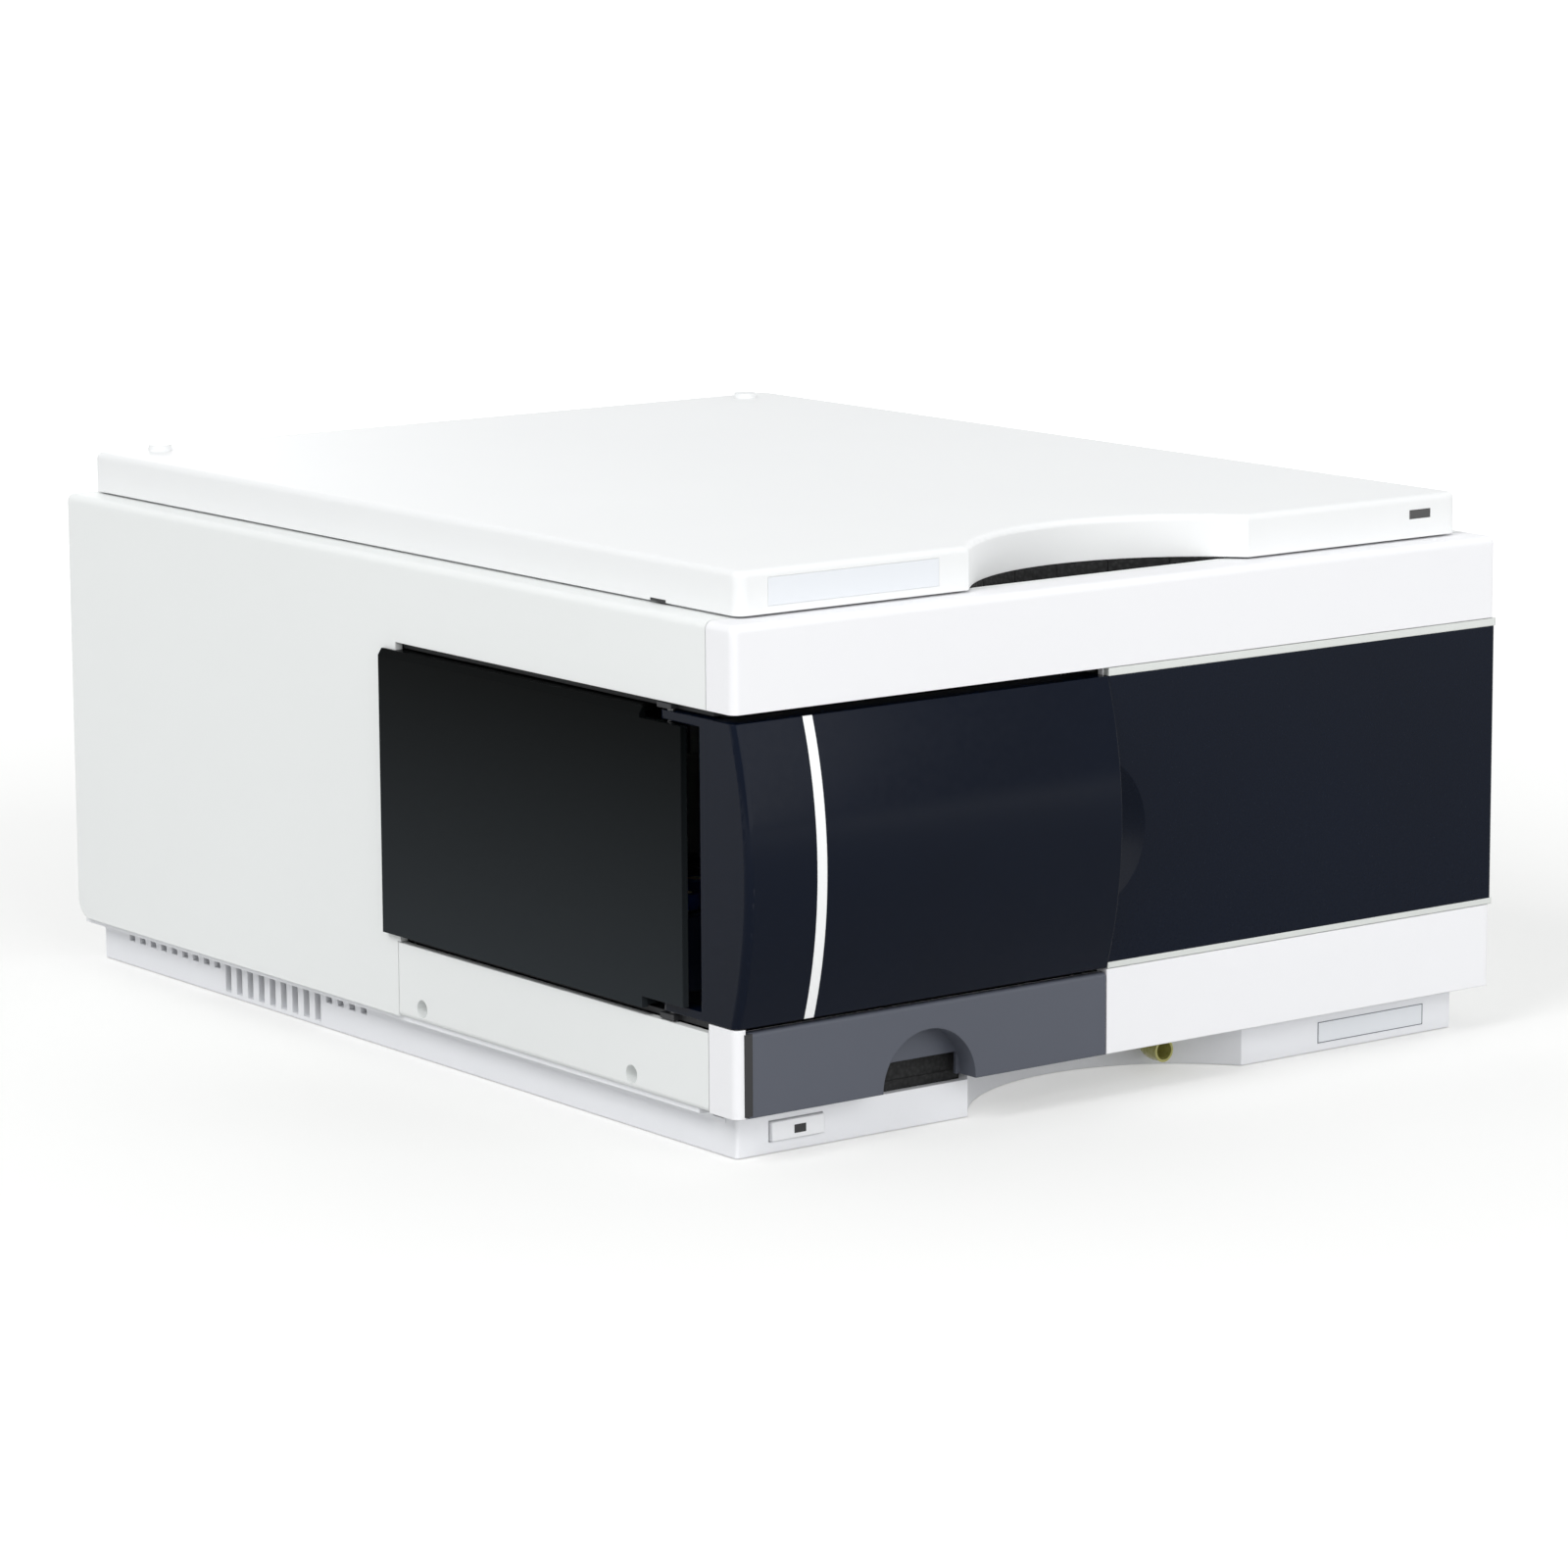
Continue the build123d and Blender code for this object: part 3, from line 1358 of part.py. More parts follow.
# Transport frame: plate on the partition with two cheeks and the idler's pin
frame_y = (partition_front_y - frame_plate, partition_front_y)
frame_x = (rail_left_x - cheek, rail_right_x + cheek)
frame_z = (cheek_bottom_z, ceiling_z)
pulley_y = (belt_y[0] - pulley_gap, belt_y[1] + pulley_gap)
flange_rear_y = pulley_y[1] + pulley_flange
flange_front_pulley_y = pulley_y[0] - pulley_flange
with BuildPart() as transport_frame:
    slab(frame_x, frame_y, frame_z)
    for edge_x in (frame_x[0], rail_right_x):
        slab((edge_x, edge_x + cheek), (cheek_front_y, frame_y[0]), frame_z)
    rod_along_y(
        drive_pulley_x,
        (frame_y[0] - overrun, frame_y[1] + overrun),
        belt_z,
        shaft_radius + running_gap,
        mode=Mode.SUBTRACT,
    )
    rod_along_y(
        idler_pulley_x,
        (flange_front_pulley_y - slide_gap, frame_y[0]),
        belt_z,
        idler_pin_radius,
    )

with BuildPart() as x_rails:
    for height in (rail_lower_z, rail_upper_z):
        rod_along_x((rail_left_x, rail_right_x), rail_y, height, rail_radius)

# Transport motor behind the partition
motor_y = (partition_rear_y, partition_rear_y + motor_length)
with BuildPart() as x_motor:
    slab(
        (drive_pulley_x - motor_half, drive_pulley_x + motor_half),
        motor_y,
        (belt_z - motor_half, belt_z + motor_half),
    )
    fillet(x_motor.edges().filter_by(Axis.Y), motor_round)
    rod_along_y(
        drive_pulley_x,
        (motor_y[0] - overrun, motor_y[0] + shaft_depth),
        belt_z,
        shaft_radius + running_gap,
        mode=Mode.SUBTRACT,
    )


def pulley_body(x):
    """Belt pulley with two flanges, on an axis from front to rear."""
    rod_along_y(x, pulley_y, belt_z, belt_radius - pulley_gap)
    rod_along_y(x, (flange_front_pulley_y, pulley_y[0]), belt_z, pulley_flange_radius)
    rod_along_y(x, (pulley_y[1], flange_rear_y), belt_z, pulley_flange_radius)


with BuildPart() as drive_pulley:
    pulley_body(drive_pulley_x)
    rod_along_y(
        drive_pulley_x,
        (flange_rear_y, motor_y[0] + shaft_depth - slide_gap),
        belt_z,
        shaft_radius,
    )

with BuildPart() as idler_pulley:
    pulley_body(idler_pulley_x)
    rod_along_y(
        idler_pulley_x,
        (flange_front_pulley_y - overrun, flange_rear_y + overrun),
        belt_z,
        idler_pin_radius + running_gap,
        mode=Mode.SUBTRACT,
    )

# Toothed belt round both pulleys
with BuildPart() as x_belt:
    with BuildSketch(Plane.XZ.offset(-belt_y[1])):
        with Locations((middle((idler_pulley_x, drive_pulley_x)), belt_z)):
            SlotCenterToCenter(drive_pulley_x - idler_pulley_x, 2 * (belt_radius + belt_thickness))
            SlotCenterToCenter(drive_pulley_x - idler_pulley_x, 2 * belt_radius, mode=Mode.SUBTRACT)
    extrude(amount=belt_y[1] - belt_y[0])

# Carriage on the rails, with the upright guide and the belt clamp
carriage_span_x = (carriage_x - carriage_half, carriage_x + carriage_half)
belt_low_z = belt_z - belt_radius - belt_thickness
with BuildPart() as x_carriage:
    slab(
        carriage_span_x,
        (carriage_front_y, carriage_rear_y),
        (carriage_bottom_z, carriage_top_z),
    )
    slab(
        (carriage_x - guide_half, carriage_x + guide_half),
        (carriage_front_y - guide_depth, carriage_front_y),
        (guide_bottom_z, carriage_top_z),
    )
    slab(
        (carriage_x - clamp_half, carriage_x + clamp_half),
        (carriage_rear_y, belt_y[1]),
        (belt_low_z - slide_gap - clamp_height, belt_low_z - slide_gap),
    )
    for height in (rail_lower_z, rail_upper_z):
        rod_along_x(
            (carriage_span_x[0] - overrun, carriage_span_x[1] + overrun),
            rail_y,
            height,
            rail_radius + running_gap,
            mode=Mode.SUBTRACT,
        )

# Motor of the arm, on the carriage's right side
with BuildPart() as z_motor:
    slab(
        (carriage_span_x[1], carriage_span_x[1] + arm_motor_width),
        (carriage_front_y, carriage_rear_y),
        (arm_motor_bottom_z, arm_motor_bottom_z + arm_motor_height),
    )
    fillet(z_motor.edges().filter_by(Axis.Z), motor_round)

# Arm: slide on the guide and beam over the rack
with BuildPart() as z_arm:
    slab(
        (carriage_x - arm_slide_half, carriage_x + arm_slide_half),
        (arm_slide_front_y, carriage_front_y - slide_gap),
        arm_slide_z,
    )
    slab(
        (carriage_x - guide_half - slide_gap, carriage_x + guide_half + slide_gap),
        (carriage_front_y - guide_depth - slide_gap, carriage_front_y),
        (0, body_height),
        mode=Mode.SUBTRACT,
    )
    slab((carriage_x - beam_half, carriage_x + beam_half), (gripper_y, arm_slide_front_y), beam_z)
    post(carriage_x, gripper_y, beam_z, beam_half)
    post(
        carriage_x,
        gripper_y,
        (beam_z[0] - overrun, beam_z[0] + spindle_height + slide_gap),
        spindle_radius + running_gap,
        mode=Mode.SUBTRACT,
    )

# Gripper head: turns under the beam's end
head_y = gripper_y - reach
with BuildPart() as gripper_head:
    post(carriage_x, gripper_y, hub_disc_z, hub_disc_radius)
    post(carriage_x, gripper_y, (hub_disc_z[1], beam_z[0] + spindle_height), spindle_radius)
    slab((carriage_x - swing_half, carriage_x + swing_half), (head_y, gripper_y), swing_z)
    post(carriage_x, head_y, head_z, head_radius)
    for side in (-1, 1):
        slot_ends = sorted(
            (
                carriage_x + side * (stem_x[0] - jaw_travel - slide_gap),
                carriage_x + side * (stem_x[1] + slide_gap),
            )
        )
        slab(
            slot_ends,
            (head_y - stem_half - slide_gap, head_y + stem_half + slide_gap),
            (head_z[0] - overrun, jaw_z[1] + stem_height + slide_gap),
            mode=Mode.SUBTRACT,
        )


def jaw_body(side):
    """One gripper jaw: half ring below a plate, with the stem in the head's slot."""
    plate_z_span = (jaw_z[1] - jaw_plate, jaw_z[1])
    post(carriage_x, head_y, jaw_z, jaw_outer)
    post(carriage_x, head_y, (jaw_z[0] - overrun, plate_z_span[0]), jaw_inner, mode=Mode.SUBTRACT)
    cut_ends = sorted((carriage_x + side * jaw_split, carriage_x - side * (jaw_outer + overrun)))
    slab(
        cut_ends,
        (head_y - jaw_outer - overrun, head_y + jaw_outer + overrun),
        (jaw_z[0] - overrun, jaw_z[1] + overrun),
        mode=Mode.SUBTRACT,
    )
    slab(
        sorted((carriage_x + side * stem_x[0], carriage_x + side * stem_x[1])),
        (head_y - stem_half, head_y + stem_half),
        (jaw_z[1], jaw_z[1] + stem_height),
    )


with BuildPart() as left_jaw:
    jaw_body(-1)
with BuildPart() as right_jaw:
    jaw_body(1)

# Sampling unit frame: floor plate, upright wall and top plate
with BuildPart() as sampling_frame:
    slab(unit_x, (unit_front_y, unit_rear_y), (leak_floor_z, unit_floor_z))
    slab(unit_x, (unit_wall_y, unit_wall_y + unit_plate), (unit_floor_z, unit_top_z))
    slab(top_plate_x, (needle_block_y[0], unit_wall_y), (rod_top_z, unit_top_z))

with BuildPart() as needle_guide_rods:
    for x in rod_xs:
        post(x, rod_y, (unit_floor_z, rod_top_z), rod_radius)

with BuildPart() as needle_drive:
    slab(drive_box_x, drive_box_y, (unit_floor_z, drive_box_top_z))
    fillet(needle_drive.edges().filter_by(Axis.Z), motor_round)

# Needle arm: runs on the two rods and carries the needle forward
with BuildPart() as needle_arm:
    slab(needle_block_x, needle_block_y, needle_block_z)
    slab(
        (needle_x - needle_arm_half, needle_x + needle_arm_half),
        (needle_y, needle_block_y[0]),
        needle_arm_z,
    )
    post(needle_x, needle_y, needle_arm_z, needle_arm_half)
    for x in rod_xs:
        post(
            x,
            rod_y,
            (needle_block_z[0] - overrun, needle_block_z[1] + overrun),
            rod_radius + running_gap,
            mode=Mode.SUBTRACT,
        )
    post(
        needle_x,
        needle_y,
        (needle_arm_z[0] - overrun, needle_arm_z[1] + overrun),
        needle_shank_radius + fit_gap,
        mode=Mode.SUBTRACT,
    )

with BuildPart() as needle:
    post(needle_x, needle_y, (needle_arm_z[1], needle_arm_z[1] + needle_hub_height), needle_hub_radius)
    shank_z = (needle_arm_z[0] - needle_shank_length, needle_arm_z[1])
    post(needle_x, needle_y, shank_z, needle_shank_radius)
    post(needle_x, needle_y, (needle_tip_z, shank_z[0]), needle_radius)

with BuildPart() as needle_seat:
    slab(
        (needle_x - seat_half, needle_x + seat_half),
        (needle_y - seat_half, needle_y + seat_half),
        (unit_floor_z, seat_block_top_z),
    )
    with Locations((needle_x, needle_y, middle((seat_block_top_z, seat_top_z)))):
        Cone(seat_nose_radius, seat_tip_radius, seat_top_z - seat_block_top_z)
    post(
        needle_x,
        needle_y,
        (seat_top_z - seat_bore_depth, seat_top_z + overrun),
        needle_radius + seat_bore_gap,
        mode=Mode.SUBTRACT,
    )

# Metering device: drive with yoke, head, and the plunger between them
meter_x_span = (meter_x - meter_half, meter_x + meter_half)
with BuildPart() as metering_drive:
    slab(meter_x_span, (meter_front_y, unit_wall_y), (meter_bottom_z, meter_top_z))
    slab(
        meter_x_span,
        meter_plate_y,
        (meter_z - meter_plate_half, meter_z + meter_plate_half),
    )
    for edge_x in (meter_x_span[0], meter_x_span[1] - meter_bar):
        slab(
            (edge_x, edge_x + meter_bar),
            (meter_plate_y[1], meter_front_y),
            (meter_z - meter_plate_half, meter_z + meter_plate_half),
        )
    rod_along_y(
        meter_x,
        (meter_front_y - overrun, screw_bore_end_y),
        meter_z,
        screw_radius + running_gap,
        mode=Mode.SUBTRACT,
    )
    rod_along_y(
        meter_x,
        (meter_plate_y[0] - overrun, meter_plate_y[1] + overrun),
        meter_z,
        plunger_radius + running_gap,
        mode=Mode.SUBTRACT,
    )

with BuildPart() as metering_head:
    rod_along_y(meter_x, (meter_head_front_y, meter_plate_y[0]), meter_z, meter_head_radius)
    rod_along_y(
        meter_x,
        (plunger_bore_end_y, meter_plate_y[0] + overrun),
        meter_z,
        plunger_radius + running_gap,
        mode=Mode.SUBTRACT,
    )

with BuildPart() as metering_plunger:
    rod_along_y(meter_x, (plunger_tip_y, pusher_y[0]), meter_z, plunger_radius)
    rod_along_y(meter_x, pusher_y, meter_z, pusher_radius)
    rod_along_y(meter_x, (pusher_y[1], screw_rear_y), meter_z, screw_radius)

# Injection valve: drive, rotor and head with its six ports
with BuildPart() as valve_drive:
    rod_along_y(valve_x, (valve_rear_y, unit_wall_y), valve_z, valve_drive_radius)
    rod_along_y(
        valve_x,
        (valve_rear_y - overrun, valve_rear_y + rotor_shaft_depth),
        valve_z,
        rotor_shaft_radius + running_gap,
        mode=Mode.SUBTRACT,
    )

with BuildPart() as valve_rotor:
    rod_along_y(valve_x, (rotor_front_y, valve_rear_y - slide_gap), valve_z, rotor_radius)
    rod_along_y(
        valve_x,
        (valve_rear_y - slide_gap, valve_rear_y + rotor_shaft_depth - slide_gap),
        valve_z,
        rotor_shaft_radius,
    )

with BuildPart() as valve_head:
    rod_along_y(valve_x, (valve_front_y, valve_rear_y), valve_z, valve_head_radius)
    rod_along_y(
        valve_x,
        (rotor_front_y - slide_gap, valve_rear_y + overrun),
        valve_z,
        rotor_radius + slide_gap,
        mode=Mode.SUBTRACT,
    )
    with Locations(Plane((valve_x, valve_front_y, valve_z), x_dir=(0, 0, 1), z_dir=(0, -1, 0))):
        with PolarLocations(port_circle, port_count):
            Cylinder(port_radius, port_length, align=(Align.CENTER, Align.CENTER, Align.MIN))

# Capillaries: from the needle seat and from the metering head to the valve
port_front_y = valve_front_y - port_length
with BuildPart() as capillaries:
    with BuildLine():
        FilletPolyline(
            (needle_x + seat_half, needle_y, seat_line_z),
            (seat_line_x, needle_y, seat_line_z),
            (seat_line_x, seat_line_y, seat_line_z),
            (seat_line_x, seat_line_y, valve_z + port_circle),
            (valve_x, seat_line_y, valve_z + port_circle),
            (valve_x, port_front_y, valve_z + port_circle),
            radius=capillary_bend,
        )
    with BuildSketch(Plane((needle_x + seat_half, needle_y, seat_line_z), z_dir=(1, 0, 0))):
        RegularPolygon(capillary_radius, capillary_sides)
    sweep()
    with BuildLine():
        FilletPolyline(
            (meter_x, meter_head_front_y, meter_z),
            (meter_x, meter_line_y, meter_z),
            (meter_x, meter_line_y, valve_z - port_circle),
            (valve_x, meter_line_y, valve_z - port_circle),
            (valve_x, port_front_y, valve_z - port_circle),
            radius=capillary_bend,
        )
    with BuildSketch(Plane((meter_x, meter_head_front_y, meter_z), z_dir=(0, -1, 0))):
        RegularPolygon(capillary_radius, capillary_sides)
    sweep()

# Main board, upright at the right, with its larger components
with BuildPart() as main_board:
    slab((board_x, board_x + board_thickness), board_y, board_z)
    for column in range(chip_columns):
        chip_y = board_y[0] + (column + 0.5) / chip_columns * (board_y[1] - board_y[0])
        for row in range(chip_rows):
            chip_z = board_z[0] + (row + 0.5) / chip_rows * (board_z[1] - board_z[0])
            slab(
                (board_x - chip_height, board_x),
                (chip_y - chip_half_length, chip_y + chip_half_length),
                (chip_z - chip_half_height, chip_z + chip_half_height),
            )

# Power supply in its sheet case, with slots in the lid
supply_z = (cover_foot_z, cover_foot_z + supply_height)
with BuildPart() as power_supply:
    slab(supply_x, supply_y, supply_z)
    fillet(power_supply.edges().filter_by(Axis.Z), supply_round)
    for index in range(supply_slot_count):
        slot_x = middle(supply_x) + (index - (supply_slot_count - 1) / 2) * supply_slot_pitch
        slab(
            (slot_x - supply_slot_width / 2, slot_x + supply_slot_width / 2),
            (middle(supply_y) - supply_slot_half_length, middle(supply_y) + supply_slot_half_length),
            (supply_z[1] - supply_slot_depth, supply_z[1] + overrun),
            mode=Mode.SUBTRACT,
        )

# Fan frame on the rear panel, and the fan's rotor
fan_hub_y = (fan_y[0] + fan_hub_inset, fan_y[0] + fan_hub_inset + fan_hub_length)
fan_spider_y = (fan_hub_y[1] + slide_gap, fan_y[1])
with BuildPart() as fan_frame:
    slab((fan_x - fan_half, fan_x + fan_half), fan_y, (fan_z - fan_half, fan_z + fan_half))
    fillet(fan_frame.edges().filter_by(Axis.Y), fan_corner_round)
    rod_along_y(fan_x, (fan_y[0] - overrun, fan_y[1] + overrun), fan_z, fan_bore, mode=Mode.SUBTRACT)
    rod_along_y(fan_x, fan_spider_y, fan_z, fan_hub_radius)
    strut_half = fan_strut / 2
    strut_reach = fan_half - fan_strut
    slab(
        (fan_x - strut_reach, fan_x + strut_reach),
        fan_spider_y,
        (fan_z - strut_half, fan_z + strut_half),
    )
    slab(
        (fan_x - strut_half, fan_x + strut_half),
        fan_spider_y,
        (fan_z - strut_reach, fan_z + strut_reach),
    )
    rod_along_y(fan_x, (fan_hub_y[0] + fan_strut, fan_spider_y[0]), fan_z, fan_pin_radius)

with BuildPart() as fan_rotor:
    rod_along_y(fan_x, fan_hub_y, fan_z, fan_hub_radius)
    blade_half = (fan_blade_tip - fan_hub_radius) / 2 + overrun / 2
    blade_middle = fan_hub_radius + blade_half - overrun
    with Locations(Plane((fan_x, middle(fan_hub_y), fan_z), x_dir=(1, 0, 0), z_dir=(0, 1, 0))):
        with PolarLocations(blade_middle, fan_blade_count):
            Box(
                2 * blade_half,
                fan_blade_thickness,
                fan_blade_chord,
                rotation=(fan_blade_angle, 0, 0),
            )
    rod_along_y(
        fan_x,
        (fan_hub_y[0] + fan_strut - slide_gap, fan_hub_y[1] + overrun),
        fan_z,
        fan_pin_radius + running_gap,
        mode=Mode.SUBTRACT,
    )

# Rear panel of sheet steel with the fan grille and the socket openings
rear_y_span = (rear_sheet_y, rear_face_y)
rear_cut_y = (rear_sheet_y - overrun, rear_face_y + overrun)
inlet_hole_x = (inlet_x - inlet_body_half_x - seam_gap, inlet_x + inlet_body_half_x + seam_gap)
inlet_hole_z = (inlet_z - inlet_body_half_z - seam_gap, inlet_z + inlet_body_half_z + seam_gap)
with BuildPart() as rear_panel:
    slab((plate_left_x, -plate_left_x), rear_y_span, (cover_foot_z, rear_sheet_top_z))
    slab(inlet_hole_x, rear_cut_y, inlet_hole_z, mode=Mode.SUBTRACT)
    slab(
        (card_x[0] + card_margin, card_x[1] - card_margin),
        rear_cut_y,
        (card_z[0] + card_margin, card_z[1] - card_margin),
        mode=Mode.SUBTRACT,
    )
    for index in range(fan_slot_count):
        offset_z = (index - (fan_slot_count - 1) / 2) * fan_slot_pitch
        half_length = (fan_grille_radius**2 - offset_z**2) ** 0.5
        slab(
            (fan_x - half_length, fan_x + half_length),
            rear_cut_y,
            (fan_z + offset_z - fan_slot_width / 2, fan_z + offset_z + fan_slot_width / 2),
            mode=Mode.SUBTRACT,
        )

# Power inlet: flanged socket with three pins
with BuildPart() as power_inlet:
    slab(
        (inlet_x - inlet_flange_half_x, inlet_x + inlet_flange_half_x),
        (rear_face_y, rear_face_y + inlet_flange),
        (inlet_z - inlet_flange_half_z, inlet_z + inlet_flange_half_z),
    )
    slab(
        (inlet_x - inlet_body_half_x, inlet_x + inlet_body_half_x),
        (rear_face_y - inlet_body_depth, rear_face_y),
        (inlet_z - inlet_body_half_z, inlet_z + inlet_body_half_z),
    )
    mouth_front_y = rear_face_y + inlet_flange - inlet_mouth_depth
    with BuildSketch(Plane.XZ.offset(-rear_face_y - inlet_flange - overrun)):
        with Locations((inlet_x, inlet_z)):
            mouth = Rectangle(2 * inlet_mouth_half_x, 2 * inlet_mouth_half_z)
        chamfer(mouth.vertices().group_by(Axis.Y)[-1], inlet_mouth_chamfer)
    extrude(amount=inlet_mouth_depth + overrun, mode=Mode.SUBTRACT)
    for step in (-1, 0, 1):
        pin_x = inlet_x + step * inlet_pin_pitch
        slab(
            (pin_x - inlet_pin_half_x, pin_x + inlet_pin_half_x),
            (mouth_front_y, mouth_front_y + inlet_pin_length),
            (inlet_z - inlet_pin_half_z, inlet_z + inlet_pin_half_z),
        )

# Interface card: plate outside the rear panel and its board inside
with BuildPart() as interface_card:
    slab(card_x, (rear_face_y, rear_face_y + card_plate), card_z)
    slab(
        (card_x[0] + card_margin + seam_gap, card_x[1] - card_margin - seam_gap),
        (card_board_front_y, rear_face_y),
        (card_board_z, card_board_z + board_thickness),
    )

with BuildPart() as data_sockets:
    plate_face_y = rear_face_y + card_plate
    socket_left_x = card_x[0] + socket_end_gap
    for socket_length in socket_lengths:
        socket_right_x = socket_left_x + socket_length
        slab(
            (socket_left_x, socket_right_x),
            (plate_face_y, plate_face_y + socket_depth),
            (socket_row_z - socket_half_z, socket_row_z + socket_half_z),
        )
        slab(
            (socket_left_x + socket_hole_inset, socket_right_x - socket_hole_inset),
            (plate_face_y + socket_depth - socket_hole_depth, plate_face_y + socket_depth + overrun),
            (
                socket_row_z - socket_half_z + socket_hole_inset,
                socket_row_z + socket_half_z - socket_hole_inset,
            ),
            mode=Mode.SUBTRACT,
        )
        socket_left_x = socket_right_x + socket_gap

pieces = {
    "base_tray": base_tray,
    "rubber_feet": rubber_feet,
    "lower_foam": lower_foam,
    "power_button": power_button,
    "drain_tube": drain_tube,
    "main_cover": main_cover,
    "lower_side_panel": lower_side_panel,
    "front_cover": front_cover,
    "lower_front_panel": lower_front_panel,
    "right_front_panel": right_front_panel,
    "trim_strips": trim_strips,
    "lid": lid,
    "name_plate": name_plate,
    "status_lens": status_lens,
    "tray_base": tray_base,
    "ceiling_plate": ceiling_plate,
    "partition": partition,
    "upper_foam": upper_foam,
    "leak_tray": leak_tray,
    "leak_funnel": leak_funnel,
    "front_door": front_door,
    "door_stripe": door_stripe,
    "side_door": side_door,
    "hinge_pins": hinge_pins,
    "vial_rack": vial_rack,
    "vials": vials,
    "vial_caps": vial_caps,
    "transport_frame": transport_frame,
    "x_rails": x_rails,
    "x_motor": x_motor,
    "drive_pulley": drive_pulley,
    "idler_pulley": idler_pulley,
    "x_belt": x_belt,
    "x_carriage": x_carriage,
    "z_motor": z_motor,
    "z_arm": z_arm,
    "gripper_head": gripper_head,
    "left_jaw": left_jaw,
    "right_jaw": right_jaw,
    "sampling_frame": sampling_frame,
    "needle_guide_rods": needle_guide_rods,
    "needle_drive": needle_drive,
    "needle_arm": needle_arm,
    "needle": needle,
    "needle_seat": needle_seat,
    "metering_drive": metering_drive,
    "metering_head": metering_head,
    "metering_plunger": metering_plunger,
    "valve_drive": valve_drive,
    "valve_rotor": valve_rotor,
    "valve_head": valve_head,
    "capillaries": capillaries,
    "main_board": main_board,
    "power_supply": power_supply,
    "fan_frame": fan_frame,
    "fan_rotor": fan_rotor,
    "rear_panel": rear_panel,
    "power_inlet": power_inlet,
    "interface_card": interface_card,
    "data_sockets": data_sockets,
}
for name, piece in pieces.items():
    piece.part.label = name
    export_step(piece.part, f"parts/{name}.step")
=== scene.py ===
import json
import math
import bmesh
import bpy
from mathutils import Matrix, Vector


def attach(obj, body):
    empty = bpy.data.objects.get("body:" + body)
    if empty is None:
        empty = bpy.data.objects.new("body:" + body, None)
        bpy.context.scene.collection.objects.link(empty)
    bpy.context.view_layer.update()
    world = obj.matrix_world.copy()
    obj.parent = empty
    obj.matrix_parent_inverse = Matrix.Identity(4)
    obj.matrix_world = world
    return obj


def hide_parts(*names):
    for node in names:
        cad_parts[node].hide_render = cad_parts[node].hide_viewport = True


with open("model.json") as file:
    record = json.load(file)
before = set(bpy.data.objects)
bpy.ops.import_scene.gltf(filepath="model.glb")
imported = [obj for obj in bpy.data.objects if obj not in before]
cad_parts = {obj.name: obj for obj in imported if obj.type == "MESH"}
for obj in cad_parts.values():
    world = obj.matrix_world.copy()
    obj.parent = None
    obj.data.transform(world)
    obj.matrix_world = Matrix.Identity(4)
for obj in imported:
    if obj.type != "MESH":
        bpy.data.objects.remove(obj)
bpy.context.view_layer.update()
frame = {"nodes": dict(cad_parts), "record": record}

scene = bpy.context.scene
nodes = frame["nodes"]

# Camera's place, direction and lens, solved from the housing's corners in the photograph
CAMERA_PLACE = (-1.28205, -1.73029, 0.47233)
CAMERA_RIGHT = (0.80041264, -0.59942032, -0.00590688)
CAMERA_UP = (0.11186533, 0.13967979, 0.98385756)
CAMERA_BACK = (-0.58891914, -0.7881528, 0.17885582)
CAMERA_LENS = 132.658
SENSOR = 36.0


# Materials
def shader(name):
    """New material with a Principled shader; returns the material, its tree and the shader."""
    mat = bpy.data.materials.new(name)
    mat.use_nodes = True
    tree = mat.node_tree
    return mat, tree, tree.nodes["Principled BSDF"]


def add(tree, kind, **values):
    """New node of a kind with its settings."""
    node = tree.nodes.new(kind)
    for key, value in values.items():
        setattr(node, key, value)
    return node


def noise(tree, scale, detail=3.0, rough=0.5):
    """Noise in the object's own metres; returns its value."""
    coords = add(tree, "ShaderNodeTexCoord")
    tex = add(tree, "ShaderNodeTexNoise")
    tex.inputs["Scale"].default_value = scale
    tex.inputs["Detail"].default_value = detail
    tex.inputs["Roughness"].default_value = rough
    tree.links.new(coords.outputs["Object"], tex.inputs["Vector"])
    return tex.outputs["Fac"]


def ramp(tree, source, low, high, start=0.3, end=0.7):
    """Colour between two, by a value; returns the colour."""
    node = add(tree, "ShaderNodeValToRGB")
    node.color_ramp.elements[0].position = start
    node.color_ramp.elements[1].position = end
    node.color_ramp.elements[0].color = (*low, 1)
    node.color_ramp.elements[1].color = (*high, 1)
    tree.links.new(source, node.inputs["Fac"])
    return node.outputs["Color"]


def spread(tree, source, low, high):
    """Value from 0-1 stretched between two; returns the value."""
    node = add(tree, "ShaderNodeMapRange")
    node.inputs["To Min"].default_value = low
    node.inputs["To Max"].default_value = high
    tree.links.new(source, node.inputs["Value"])
    return node.outputs["Result"]


def soft_edge(tree, radius):
    """Edges that look rounded by a radius in metres; returns the normal."""
    node = add(tree, "ShaderNodeBevel", samples=4)
    node.inputs["Radius"].default_value = radius
    return node.outputs["Normal"]


def tint(color, factor):
    """Colour made lighter or darker by a factor."""
    return tuple(min(1.0, c * factor) for c in color)


def linear(r, g, b):
    """Linear colour from 0-255 screen values."""
    out = []
    for value in (r, g, b):
        v = value / 255
        out.append(v / 12.92 if v <= 0.04045 else ((v + 0.055) / 1.055) ** 2.4)
    return tuple(out)


